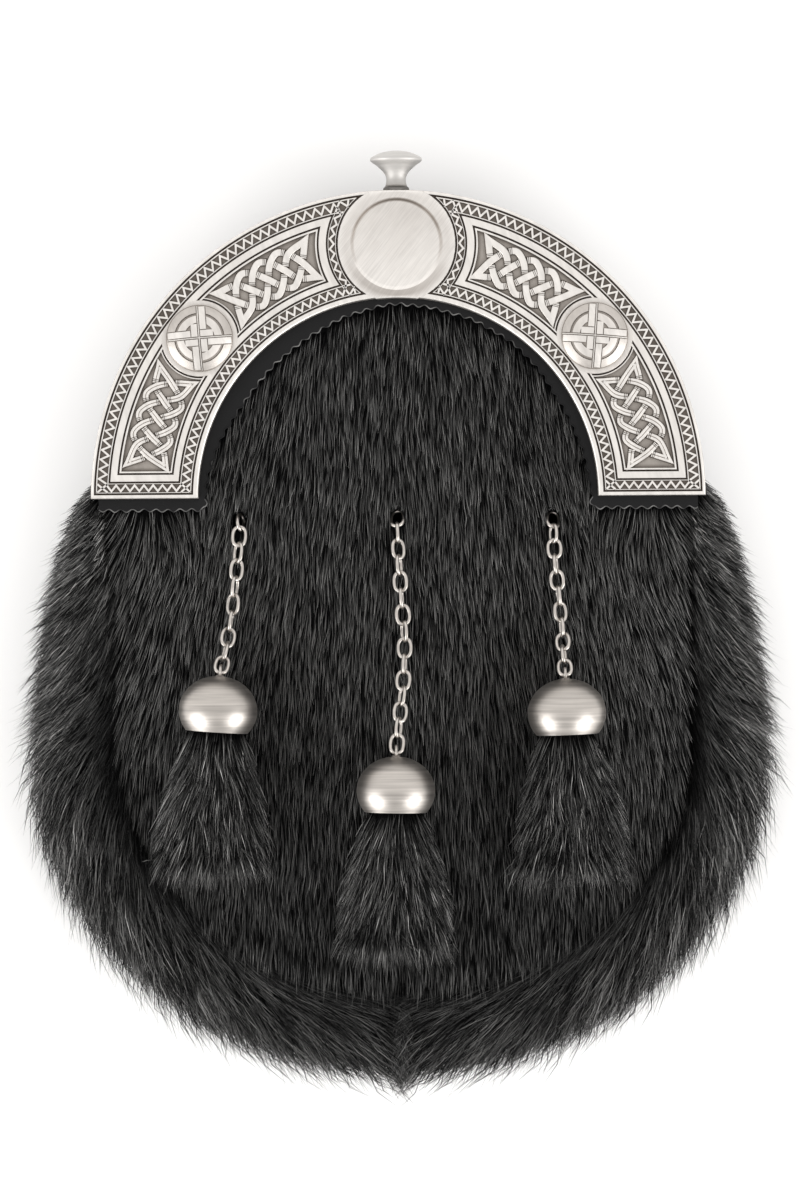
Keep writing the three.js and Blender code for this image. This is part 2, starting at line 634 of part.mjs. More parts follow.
addPiece("cantle", cantle(), FINISHES.cantle, CANTLE_BACK);
addPiece("clasp_knob", knob(), FINISHES.polished);
addPiece("leather_backing", backing(), FINISHES.leather);
addPiece("front_panel", frontPanel(), FINISHES.fur);
addPiece("gusset", gusset(), FINISHES.fur);
addPiece("back_panel", backPanel(), FINISHES.leather);
addPiece("strap_keeper", keeper(), FINISHES.leather);
DROPS.forEach((drop) => {
  addPiece(`chain_${drop.name}`, chain(drop), FINISHES.polished);
  addPiece(`bell_${drop.name}`, bell(drop), FINISHES.bell);
  addPiece(`tassel_${drop.name}`, brush(drop), FINISHES.fur);
});

const box = new THREE.Box3().setFromObject(group);
const middle = box.getCenter(new THREE.Vector3());
group.position.set(-middle.x, -middle.y, -box.min.z);

export default group;
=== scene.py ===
"""Looks of a dress sporran lying on its back: antiqued cast cantle, black fur, chains and tassels."""

import math

import bmesh
import bpy
import numpy as np
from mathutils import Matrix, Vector


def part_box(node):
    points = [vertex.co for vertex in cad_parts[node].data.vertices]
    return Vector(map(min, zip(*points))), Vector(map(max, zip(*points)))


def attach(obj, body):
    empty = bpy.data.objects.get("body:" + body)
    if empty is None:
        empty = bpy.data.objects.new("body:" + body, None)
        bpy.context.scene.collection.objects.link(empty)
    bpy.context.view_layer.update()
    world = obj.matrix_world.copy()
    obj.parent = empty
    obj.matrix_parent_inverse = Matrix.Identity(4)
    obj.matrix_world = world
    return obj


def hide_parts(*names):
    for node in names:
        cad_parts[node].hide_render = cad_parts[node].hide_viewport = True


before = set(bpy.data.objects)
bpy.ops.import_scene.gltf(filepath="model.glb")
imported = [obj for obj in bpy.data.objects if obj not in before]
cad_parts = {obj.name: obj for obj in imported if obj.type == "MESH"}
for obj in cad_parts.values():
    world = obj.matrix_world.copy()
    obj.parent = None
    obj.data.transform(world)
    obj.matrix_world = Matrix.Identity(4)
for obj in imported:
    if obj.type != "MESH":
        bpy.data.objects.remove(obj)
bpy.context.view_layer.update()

# Sizes are in millimetres about the centre of the cantle's circle, as the part's own source has them
MM = 0.001
LEG_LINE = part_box("cantle")[0].y
BODY = "root"

# Photograph: pixels, and the millimetres that one of them covers on the cantle's face
IMAGE_WIDE = 800
IMAGE_HIGH = 1200
PIXEL = 0.2439
CENTRE_PIXEL = (399, 497)
CAMERA_HIGH = 1250
CAMERA_ROLL = 0.4
SENSOR = 36

# Cantle
RING_OUTER = 75
RING_INNER = 48.8
CANTLE_BACK = 32.1
FACE_HIGH = 3.2
LINE_HIGH = 3.12
POCKET = 2.5
FLOOR = 2.35
ROUNDEL_Y = 61.8
ROUNDEL = 14.3
LUG = {"half": 4.5, "low": 72.5, "high": 74.7, "deep": 3.1}

# Border lines of each half's field: radii of the outer and inner arcs, leg height, radius about the roundel
FIELD = {
    "edge": (RING_OUTER, RING_INNER, 0, ROUNDEL),
    "rim_line": (74.0, 50.3, 1.15, 14.6),
    "teeth_from": (73.5, 50.75, 1.55, 15.0),
    "teeth_to": (71.0, 53.05, 3.6, 16.65),
    "band_line": (70.55, 53.5, 3.98, 17.02),
    "frame_line": (68.5, 55.3, 6.05, 19.25),
    "window": (67.75, 55.97, 6.75, 19.95),
}
# Edge of the plate and of the roundel's disc: a step in from it, the height and how bright it is worn
RIM = [(0, 0, 0.55), (0, 2.75, 0.8), (0.12, 3.05, 0.95), (0.4, FACE_HIGH, 1)]


def engraved(line, half, floor, before, after):
    """Rows of the border across a dark cut line, with the height and tone before it and after it."""
    return [(line, -half, *before), (line, -half, floor, 0.03), (line, half, floor, 0.03), (line, half, *after)]


# Profile across the border: the line, a step in from it, the height and how bright it is worn
BORDER = [
    *[("edge", *row) for row in RIM],
    *engraved("rim_line", 0.25, 2.8, (FACE_HIGH, 1), (LINE_HIGH, 1)),
    ("teeth_from", 0, LINE_HIGH, 1),
    ("teeth_from", 0.06, POCKET, 0.27),
    ("teeth_to", -0.06, POCKET, 0.27),
    ("teeth_to", 0, LINE_HIGH, 1),
    *engraved("band_line", 0.24, 2.8, (LINE_HIGH, 1), (FACE_HIGH, 0.97)),
    *engraved("frame_line", 0.24, 2.75, (FACE_HIGH, 0.97), (LINE_HIGH, 1)),
    ("window", -0.1, LINE_HIGH, 1),
    ("window", 0.08, FLOOR, 0.3),
    ("window", 0.9, FLOOR, 0.45),
]
# Teeth of the zigzag along each side of a field
TEETH = {"outer": 42, "roundel": 9, "inner": 31, "leg": 9}
TEETH_ENDS = list(zip(TEETH, (2 * np.cumsum(list(TEETH.values()))).tolist()))
TOOTH_HALF = 0.23
# Section of the zigzag's line: half widths out, height and tone
TOOTH = [(-1.5, POCKET - 0.1, 0.25), (-1, LINE_HIGH, 1), (1, LINE_HIGH, 1), (1.5, POCKET - 0.1, 0.25)]
TOOTH_CLEAR = 0.3

# Knotwork: a four-strand plait by half columns and levels, over the panel's middle
PLAIT_RADIUS = 61.85
PLAIT_COLUMN = 2.34
PLAIT_LEVEL = [0, 3.2, 4.65, 4.7]
PLAIT_RUNS = [
    ([-5, -3, -2, -1, 0, 1, 2, 3, 5], [3, 1, 0, -1, -2, -1, 0, 1, 3]),
    ([5, 4, 3, 2, 1, 0, -1, -2, -3, -4, -5], [3, 0, -1, -2, -1, 0, 1, 2, 1, 0, -3]),
]
PLAIT_HIGH = {"plain": 3.06, "over": 0.16, "under": -0.5}
PANELS = [
    {"angle": 59.5, "half": 0.9, "incised": 0, "swap": False},
    {"angle": 18.4, "half": 0.83, "incised": 0.14, "swap": True},
]
# A ribbon dips close to the crossing, with two fine bars cut across it: distances from the crossing
DIP = (0.8, 0.98)
BARS = [1.36, 1.74]
BAR_HALF = 0.09

# Bosses
BOSS = {"at": 62, "angle": 39, "turn": -4.5, "radius": 8.2, "high": 2.6, "lift": 0.26}
BOSS_SEAT = 9.32
# The seat stays between these radii about the cantle's centre
BOSS_REACH = (53.72, 70.32)
BOSS_RIDGE = [(9.2, 2.45, 0), (9.66, 2.45, 0), (9.72, 3.1, 0.9), (9.98, 3.1, 0.9), (10.06, 2.2, 0.3)]

# Clasp knob, turned about a line up the pouch: height above its foot, radius and tone
KNOB_FOOT = 74.75
KNOB_PROFILE = [
    (0.0, 2.6, 0.1), (0.08, 3.05, 0.12), (0.45, 3.2, 0.2), (0.9, 3.1, 0.15), (1.1, 2.85, 0.05),
    (1.3, 2.7, 0.5), (1.42, 2.6, 0.15), (1.55, 2.6, 0.6), (2.2, 2.43, 0.8), (3.4, 2.42, 0.9), (4.6, 3.0, 0.95),
    (5.5, 3.8, 0.97), (6.4, 4.8, 1), (7.1, 5.85, 1), (7.5, 6.28, 1), (7.85, 6.36, 1), (8.2, 6.2, 1),
    (8.8, 5.3, 1), (9.4, 3.9, 1), (9.8, 2.3, 1), (9.95, 0.6, 1),
]

# Pouch
POUCH = {"half": 71, "straight": 60, "bottom": 59}
FACE = 30.3
HIDE = 2.4
BACK = (8, 10)
CROWN = [(-119, 0), (-112, 1.2), (-95, 3.8), (-60, 6), (-25, 5), (10, 2.4), (43.5, 0), (71, 0)]
CROWN_ARCH = 43.5
CHAIN_HOLE = 2.0
# Degrees up the arch where the side walls end and the open mouth begins
MOUTH_FROM = 50

# Leather under the cantle
BACKING = {"low": 30.6, "high": 31.8, "outer": 73.3, "below": 2.8}
# How far the leather shows inside the arch, and how far out hair may lie over it, by degrees up the arch
BACKING_SHOWS = [(0, 1.6), (10, 2.2), (20, 3.3), (32, 4.6), (45, 4.5), (60, 4.0), (75, 2.7), (90, 1.4)]
BACKING_RIGHT = [(0, 1.0), (12, 0.87), (30, 0.65), (50, 0.42), (66, 0.48), (80, 0.75), (90, 1.0)]
HAIR_LIMIT = [(0, 47.6), (10, 47.0), (20, 45.9), (30, 44.6), (40, 44.1), (60, 44.7), (75, 46.0), (90, 47.3)]
WAVE_PITCH = 2.9
WAVE_DEEP = 0.34

# Fur of the gusset: depth beyond the seam by distance along it, and the section round the roll
FUR_DEPTH = [(-8, 5.5), (0, 8.1), (14, 13.2), (30, 17), (60, 20.2), (110, 23), (162, 24)]
ROLL = [
    (0.02, 28.6), (0.14, 31.4), (0.3, 33), (0.55, 32.2), (0.8, 29), (0.95, 24.5),
    (1.0, 19), (0.97, 13), (0.85, 8), (0.66, 3.4), (0.45, 0.8), (0.05, 0.6),
]
ROLL_STEP = 5.4
# The roll laps this far over the front's edge along each side, and rises by a share of that
LAP = {-1: 3.6, 1: 0.4}
LAP_RISE = 0.53
HIDE_LINE = [(1, 29.5), (2.6, 29.5), (2.8, 19), (2.8, 9), (2.2, 8.2), (1.4, 8.2)]

# Chains, bells and tassels
DROPS = {
    "left": {"hole": (-38.8, -5.4), "via": [(-39.4, -16), (-41.3, -32)], "bell": (-44.1, -52.7), "lean": -4},
    "middle": {"hole": (-0.4, -4.9), "via": [(0.3, -20), (1.3, -38)], "bell": (-1.1, -72.4), "lean": -1},
    "right": {"hole": (37.7, -5.4), "via": [(38.2, -16), (39.6, -32)], "bell": (40.5, -53.9), "lean": 2},
}
LINK = {"long": 5.7, "wide": 4.1, "wire": 0.92, "pitch": 4.1}
CHAIN_CLEAR = 2.6
# A bell is wider than it is high: the radius round it, the rise above its widest line, the line's height, the lip
BELL = {"radius": 9.5, "rise": 8.35, "widest": 1.1, "lip": -3.8, "wall": 1.1, "rest": 0.4}
EYE = {"radius": 1.4, "wire": 0.75, "above": 1.1}
# Brush by drop below the bell's middle: half width and half thickness
BRUSH = [(1, 7.1, 7.1), (4.5, 7.3, 7.2), (9, 8.6, 7.4), (19, 11.4, 7), (32, 14.2, 6), (43.5, 15.6, 4.4)]


def place(points):
    """Metres in the row's frame from millimetres about the cantle's centre."""
    moved = np.asarray(points, float) * MM
    moved[..., 1] += LEG_LINE
    return moved


def read_table(rows, at, column=1):
    """Number from a column of a table, by the first column."""
    table = np.array(rows, float)
    return np.interp(at, table[:, 0], table[:, column])


def unit(vectors):
    return vectors / np.maximum(np.linalg.norm(vectors, axis=-1, keepdims=True), 1e-9)


def leftward(way):
    """Flat ways, each turned a quarter to its left."""
    return np.stack([-way[..., 1], way[..., 0]], axis=-1)


def circle(steps):
    """Angles once round."""
    return np.linspace(0, 2 * math.pi, steps, endpoint=False)


def spin(angle):
    """Matrix that turns rows of points about Z."""
    c, s = math.cos(angle), math.sin(angle)
    return np.array([[c, s, 0], [-s, c, 0], [0, 0, 1]])


def ease(share):
    """Share from 0 to 1 that starts and ends gently."""
    return share * share * (3 - 2 * share)


def ripple(points, wavelength, seed, waves=7):
    """Smooth random field over flat places, about -1 to 1."""
    rng = np.random.default_rng(seed)
    turn = rng.uniform(0, 2 * math.pi, waves)
    shift = rng.uniform(0, 2 * math.pi, waves)
    pace = 2 * math.pi / wavelength * rng.uniform(0.6, 1.5, waves)
    phase = points[:, :1] * np.cos(turn) * pace + points[:, 1:2] * np.sin(turn) * pace + shift
    return np.sin(phase).sum(1) / math.sqrt(waves)


def curve(points, steps=24):
    """Dense smooth line through points."""
    points = np.asarray(points, float)
    reach = np.sqrt(np.linalg.norm(np.diff(points, axis=0), axis=1))
    knots = np.concatenate([[0], np.cumsum(reach)])
    slopes = np.gradient(points, knots, axis=0)
    share = np.linspace(0, 1, steps, endpoint=False)[:, None]
    pieces = []
    for i, step in enumerate(np.diff(knots)):
        start = (1 + 2 * share) * (1 - share) ** 2 * points[i]
        end = share**2 * (3 - 2 * share) * points[i + 1]
        leave = share * (1 - share) ** 2 * step * slopes[i]
        arrive = share**2 * (share - 1) * step * slopes[i + 1]
        pieces.append(start + end + leave + arrive)
    return np.vstack([*pieces, points[-1:]])


def lengths(line):
    return np.concatenate([[0], np.cumsum(np.linalg.norm(np.diff(line, axis=0), axis=1))])


def at_lengths(line, where):
    along = lengths(line)
    return np.stack([np.interp(where, along, line[:, k]) for k in range(line.shape[1])], axis=1)


class Shape:
    """Points, groups of faces as rows of point numbers, and a tone at each point."""

    def __init__(self, points, faces, tone=1.0):
        self.points = np.asarray(points, float).reshape(-1, 3)
        self.faces = [np.asarray(group, int) for group in faces]
        self.tone = np.broadcast_to(np.asarray(tone, float).ravel(), len(self.points))


def join(shapes):
    starts = np.cumsum([0] + [len(shape.points) for shape in shapes])
    faces = [group + start for shape, start in zip(shapes, starts) for group in shape.faces]
    tone = np.concatenate([shape.tone for shape in shapes])
    return Shape(np.vstack([shape.points for shape in shapes]), faces, tone)


def bridge(rings, tone=1.0, closed=True, caps=True):
    """Shape through rows of like points; tone is one number or one for each point."""
    rings = np.asarray(rings, float)
    rows, columns = rings.shape[:2]
    index = np.arange(rows * columns).reshape(rows, columns)
    ahead = np.roll(index, -1, axis=1)
    if not closed:
        index, ahead = index[:, :-1], ahead[:, :-1]
    quads = np.stack([index[:-1], ahead[:-1], ahead[1:], index[1:]], axis=-1).reshape(-1, 4)
    faces = [quads]
    if caps:
        faces += [index[:1, ::-1], index[-1:]]
    return Shape(rings, faces, tone)


def torus_links(rings, tone=1.0):
    """Shape through rows of like points whose last row joins the first."""
    shape = bridge(np.concatenate([rings, rings[:1]]), caps=False)
    count = rings.shape[0] * rings.shape[1]
    return Shape(rings, [group % count for group in shape.faces], tone)


def lathe(profile, sides, tone=1.0):
    """Shape turned about Z from rows of height and radius."""
    angle = circle(sides)
    profile = np.asarray(profile, float)
    high, radius = profile[:, :1], np.maximum(profile[:, 1:2], 0.02)
    rings = np.stack([radius * np.cos(angle), radius * np.sin(angle), high + 0 * angle], axis=-1)
    tones = np.repeat(np.asarray(tone, float), sides) if np.ndim(tone) else tone
    return bridge(rings, tones)


def show(made):
    bpy.context.scene.collection.objects.link(made)
    return made


def add_object(name, shape, material, crease=None):
    """Mesh object made from a shape, smooth but for edges sharper than the crease."""
    mesh = bpy.data.meshes.new(name)
    sizes = np.concatenate([np.full(len(group), group.shape[1]) for group in shape.faces])
    corners = np.concatenate([group.ravel() for group in shape.faces])
    mesh.vertices.add(len(shape.points))
    mesh.vertices.foreach_set("co", place(shape.points).ravel())
    mesh.loops.add(len(corners))
    mesh.loops.foreach_set("vertex_index", corners)
    mesh.polygons.add(len(sizes))
    mesh.polygons.foreach_set("loop_start", np.concatenate([[0], np.cumsum(sizes)[:-1]]))
    mesh.update(calc_edges=True)
    tone = mesh.attributes.new("tone", "FLOAT", "POINT")
    tone.data.foreach_set("value", shape.tone.astype(np.float32))
    if crease is not None:
        work = bmesh.new()
        work.from_mesh(mesh)
        bmesh.ops.recalc_face_normals(work, faces=work.faces)
        work.to_mesh(mesh)
        work.free()
        mesh.polygons.foreach_set("use_smooth", np.ones(len(mesh.polygons), bool))
        mesh.set_sharp_from_angle(angle=math.radians(crease))
    mesh.materials.append(material)
    return show(bpy.data.objects.new(name, mesh))


def add_piece(name, shape, material, replaces=(), crease=None):
    """Object that rides on the part's one body, in place of the solids it replaces."""
    piece = add_object(name, shape, material, crease)
    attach(piece, BODY)
    if replaces:
        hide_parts(*replaces)
    return piece


# Materials


class Finish:
    """A node material with a few short ways to add to it."""

    def __init__(self, name, **sockets):
        self.material = bpy.data.materials.new(name)
        self.material.use_nodes = True
        self.tree = self.material.node_tree
        self.shader = self.tree.nodes["Principled BSDF"]
        for socket, value in sockets.items():
            self.shader.inputs[socket.replace("_", " ")].default_value = value

    def node(self, kind, **settings):
        node = self.tree.nodes.new(kind)
        for key, value in settings.items():
            if key in node.inputs:
                node.inputs[key].default_value = value
            else:
                setattr(node, key, value)
        return node

    def link(self, source, target):
        self.tree.links.new(source, target)

    def drive(self, socket, source):
        self.link(source, self.shader.inputs[socket])

    def tone(self):
        return self.node("ShaderNodeAttribute", attribute_name="tone").outputs["Fac"]

    def noise(self, scale, stretch=(1, 1, 1), turn=0, detail=3.0):
        """Noise by place on the object, stretched and turned about Z."""
        where = self.node("ShaderNodeTexCoord").outputs["Object"]
        turned = (0, 0, math.radians(turn))
        mapping = self.node("ShaderNodeMapping", vector_type="TEXTURE", Scale=stretch, Rotation=turned)
        self.link(where, mapping.inputs["Vector"])
        texture = self.node("ShaderNodeTexNoise", Scale=scale, Detail=detail)
        self.link(mapping.outputs["Vector"], texture.inputs["Vector"])
        return texture.outputs["Fac"]

    def ramp(self, source, stops):
        ramp = self.node("ShaderNodeValToRGB")
        elements = ramp.color_ramp.elements
        while len(elements) < len(stops):
            elements.new(0.5)
        for element, (at, colour) in zip(elements, stops):
            element.position = at
            element.color = (*colour, 1) if len(colour) == 3 else colour
        self.link(source, ramp.inputs["Fac"])
        return ramp.outputs["Color"]

    def spread(self, source, low, high):
        """A number moved from 0 to 1 into a range."""
        node = self.node("ShaderNodeMapRange", **{"To Min": low, "To Max": high})
        self.link(source, node.inputs["Value"])
        return node.outputs["Result"]

    def multiplied(self, one, other):
        """Two colours multiplied; a Mix node keeps its colours at these numbers."""
        node = self.node("ShaderNodeMix", data_type="RGBA", blend_type="MULTIPLY", Factor=1.0)
        self.link(one, node.inputs[6])
        self.link(other, node.inputs[7])
        return node.outputs[2]

    def math(self, operation, one, other):
        node = self.node("ShaderNodeMath", operation=operation)
        for socket, value in zip(node.inputs, (one, other)):
            if isinstance(value, (int, float)):
                socket.default_value = value
            else:
                self.link(value, socket)
        return node.outputs["Value"]

    def bump(self, height, depth):
        node = self.node("ShaderNodeBump", Strength=1.0, Distance=depth * MM)
        self.link(height, node.inputs["Height"])
        self.drive("Normal", node.outputs["Normal"])


def antique_metal(name, stops, rough, brush, turn, grain, streaks=(900, 0.86), occlusion_shade=False):
    """Cast metal: dark in the hollows by tone, worn bright on top, brushed along one direction, and optionally painted
    shade from ambient occlusion beside raised parts.
    """
    finish = Finish(name, Metallic=1.0)
    tone = finish.tone()
    cloud = finish.noise(220, detail=4.0)
    streak = finish.noise(streaks[0], brush, turn)
    worn = finish.math("ADD", tone, finish.spread(cloud, -0.08, 0.08))
    # Painted shade: darker where ambient occlusion finds raised parts close by
    if occlusion_shade:
        shade_occlusion = finish.node("ShaderNodeAmbientOcclusion", samples=1, only_local=True, Distance=0.9 * MM)
        worn = finish.math("MULTIPLY", worn, finish.spread(shade_occlusion.outputs["AO"], 0.55, 1))
    colour = finish.ramp(worn, stops)
    light = finish.ramp(streak, [(0.3, (streaks[1],) * 3), (0.7, (1, 1, 1))])
    finish.drive("Base Color", finish.multiplied(colour, light))
    finish.drive("Roughness", finish.math("ADD", finish.spread(tone, *rough), finish.spread(streak, -0.06, 0.06)))
    finish.bump(streak, grain)
    return finish.material


PATINA = [
    (0.0, (0.05, 0.04, 0.033)), (0.22, (0.14, 0.12, 0.103)), (0.5, (0.4, 0.367, 0.335)),
    (0.8, (0.62, 0.585, 0.552)), (1.0, (0.79, 0.76, 0.725)),
]
BRIGHT = [(0.0, (0.06, 0.055, 0.05)), (0.5, (0.42, 0.4, 0.375)), (1.0, (0.6, 0.585, 0.565))]
BELL_TONES = [(0.0, (0.05, 0.045, 0.04)), (0.5, (0.28, 0.26, 0.24)), (1.0, (0.53, 0.495, 0.46))]


def fur_finish(name, stops, rough, shine):
    """Glossy black hair: by tone, some hairs are painted light as sheen and glints, and the rest stay dark and dull.
    """
    finish = Finish(name)
    tone = finish.tone()
    finish.drive("Base Color", finish.ramp(tone, stops))
    finish.drive("Roughness", finish.spread(tone, *rough))
    finish.drive("Specular IOR Level", finish.spread(tone, *shine))
    finish.bump(finish.noise(2500), 0.02)
    return finish.material


# Black hair's own colour at low tones; higher tones are painted sheen, and the top one painted glints
FUR_AND_SHEEN_TONES = [
    (0.0, (0.001, 0.001, 0.0011)), (0.3, (0.005, 0.005, 0.005)), (0.6, (0.065, 0.064, 0.062)),
    (0.85, (0.185, 0.182, 0.176)), (1.0, (0.58, 0.57, 0.555)),
]
HIDE_TONES = [(0.0, (0.002, 0.002, 0.0022)), (1.0, (0.02, 0.02, 0.02))]


def leather_finish(name):
    """Smooth black leather with a fine pebble, paler where its tone shows a cut edge."""
    finish = Finish(name, Specular_IOR_Level=0.16)
    grain = finish.node("ShaderNodeTexVoronoi", feature="DISTANCE_TO_EDGE", Scale=1500.0)
    finish.link(finish.node("ShaderNodeTexCoord").outputs["Object"], grain.inputs["Vector"])
    stops = [(0.0, (0.004, 0.004, 0.0043)), (0.4, (0.009, 0.009, 0.0095)), (1.0, (0.2, 0.197, 0.192))]
    finish.drive("Base Color", finish.ramp(finish.tone(), stops))
    finish.drive("Roughness", finish.spread(finish.noise(300), 0.5, 0.65))
    finish.bump(grain.outputs["Distance"], 0.06)
    return finish.material


# The cast metal takes painted shade from ambient occlusion beside raised parts
CANTLE_METAL = antique_metal("antiqued_cast_metal", PATINA, (0.58, 0.44), (1, 6, 1), 20, 0.004, occlusion_shade=True)
DISH_METAL = antique_metal("brushed_dish", PATINA, (0.5, 0.4), (30, 1, 30), 52, 0.006, (3600, 0.84))
KNOB_METAL = antique_metal("satin_knob", BRIGHT, (0.66, 0.6), (20, 1, 20), 0, 0.003)
CHAIN_METAL = antique_metal("bright_chain", BELL_TONES, (0.45, 0.3), (1, 1, 1), 0, 0.004)
BELL_METAL = antique_metal("brushed_bell", BELL_TONES, (0.5, 0.4), (36, 1, 36), 0, 0.02, (1700, 0.68))
FUR = fur_finish("black_fur", FUR_AND_SHEEN_TONES, (0.6, 0.28), (0.03, 0.5))
HIDE_FUR = fur_finish("close_underfur", HIDE_TONES, (0.9, 0.8), (0.03, 0.2))
LEATHER = leather_finish("black_leather")


# Cantle


def polar(radius, angle, side=1):
    return np.stack([side * radius * np.cos(angle), radius * np.sin(angle)], axis=-1)


def contour(outer, inner, leg, roundel, side):
    """Closed line round one half's field with an even number of steps on each side."""

    def meet(radius):
        across = (radius**2 + ROUNDEL_Y**2 - roundel**2) / (2 * radius * ROUNDEL_Y)
        return math.pi / 2 - math.acos(across)

    def turn(radius):
        x, y = polar(radius, meet(radius))
        return math.atan2(y - ROUNDEL_Y, x)

    def shares(edge):
        return np.linspace(0, 1, 2 * TEETH[edge], endpoint=False)

    low = {radius: math.asin(leg / radius) for radius in (outer, inner)}
    long_way = polar(outer, low[outer] + (meet(outer) - low[outer]) * shares("outer"), side)
    round_way = polar(roundel, turn(outer) + (turn(inner) - turn(outer)) * shares("roundel"), side)
    back_way = polar(inner, meet(inner) + (low[inner] - meet(inner)) * shares("inner"), side)
    ends = polar(inner, low[inner], side), polar(outer, low[outer], side)
    foot = ends[0] + (ends[1] - ends[0]) * shares("leg")[:, None]
    return np.vstack([long_way, round_way + (0, ROUNDEL_Y), back_way, foot])


def border_ring(line, step, side):
    """A border line moved in by a step; the roundel's disc meets the halves flush."""
    outer, inner, leg, roundel = FIELD[line]
    return contour(outer - step, inner + step, leg + step, roundel + (step if line != "edge" else 0), side)


def at_height(flat, high):
    return np.column_stack([flat, np.broadcast_to(high, len(flat))])


def field(side):
    """One half of the plate: the rim, its lines and pockets, and the sunk window of the panels."""
    rings = [at_height(border_ring(line, step, side), high) for line, step, high, _ in BORDER]
    tone = np.repeat([row[3] for row in BORDER], len(rings[0]))
    return bridge(rings, tone)


def mitred(line, half, closed):
    """Sideways steps along a flat line that keep a strip's width at its corners."""
    before = np.roll(line, 1, axis=0)
    after = np.roll(line, -1, axis=0)
    arrive, leave = unit(line - before), unit(after - line)
    if not closed:
        arrive[0], leave[-1] = leave[0], arrive[-1]
    along = unit(arrive + leave)
    stretch = np.maximum((along * leave).sum(1), 0.3)
    return leftward(along) * (half / stretch)[:, None]


def zigzag(side):
    """Raised line that runs in and out between the two rows of pockets."""
    middle = contour(*np.mean([FIELD["teeth_from"], FIELD["teeth_to"]], axis=0), side)
    corners = [end - 2 * TEETH[name] for name, end in TEETH_ENDS]
    centre = np.array([0, ROUNDEL_Y])
    line = []
    for i, place_now in enumerate(middle):
        edge = next(name for name, end in TEETH_ENDS if i < end)
        outer, inner, leg, roundel = FIELD["teeth_from" if i % 2 == 0 else "teeth_to"]
        clear = TOOTH_CLEAR if i % 2 == 0 else -TOOTH_CLEAR
        if i in corners:
            continue
        if edge == "leg":
            line.append((place_now[0], leg + clear))
        elif edge == "roundel":
            line.append(centre + unit(place_now - centre) * (roundel + clear))
        else:
            line.append(unit(place_now) * (outer - clear if edge == "outer" else inner + clear))
    corner_parts = [swept(part, TOOTH_HALF, TOOTH) for part in corner_lines(side)]
    return [swept(line, TOOTH_HALF, TOOTH, True), *corner_parts]


def swept(line, half, section, closed=False):
    """Section carried along a flat line: half widths out, height and tone; ends are square."""
    line = np.array(line, float)
    step = mitred(line, half, closed)
    rings = np.stack([at_height(line + out * step, high) for out, high, _ in section], axis=1)
    tone = np.tile([row[2] for row in section], len(rings))
    return torus_links(rings, tone) if closed else bridge(rings, tone)


def corner_lines(side):
    """Lines in the zigzag's corners: a cross at each leg, and a finer zigzag into the points by the roundel."""
    outer, inner, leg, roundel = FIELD["teeth_from"]
    far = border_ring("teeth_from", -0.05, side)
    near = border_ring("teeth_to", 0.05, side)
    first, up, back, down = [end - 2 * TEETH[name] for name, end in TEETH_ENDS]
    centre = np.array([0, ROUNDEL_Y])
    lines = []
    for i, radius in ((first, outer), (down, inner)):
        lines.append([far[i], near[i]])
        lines.append([(side * math.sqrt(radius**2 - near[i][1] ** 2), near[i][1]), (near[i][0], leg)])
    for i, radius in ((up, outer), (back, inner)):
        turns = [math.atan2(p[1], abs(p[0])) for p in (near[i], far[i])]
        spins = [math.atan2(p[1] - ROUNDEL_Y, abs(p[0])) for p in (near[i], far[i])]

        def on_ring(share):
            return polar(radius, turns[0] + (turns[1] - turns[0]) * share, side)

        def on_disc(share):
            return polar(roundel, spins[0] + (spins[1] - spins[0]) * share, side) + centre

        lines.append([near[i], on_ring(0.3), on_disc(0.52), on_ring(0.7)])
        lines.append([near[i], on_disc(0.2)])
    return lines


def plait_runs(angle, side):
    """The plait's four runs from point to point, as flat places marked where they cross over or under."""
    runs = []
    for flip in (1, -1):
        for columns, levels in PLAIT_RUNS:
            columns, levels = np.array(columns), flip * np.array(levels)
            slope = np.gradient(levels.astype(float)) * np.gradient(columns.astype(float))
            depth = np.abs(levels)
            crossing = depth < 2
            under = crossing & np.where(depth == 0, slope > 0, slope < 0)
            radius = PLAIT_RADIUS + np.sign(levels) * np.array(PLAIT_LEVEL)[depth]
            turn = math.radians(angle) + columns * PLAIT_COLUMN / PLAIT_RADIUS
            runs.append((polar(radius, turn, side), under, crossing & ~under))
    return runs


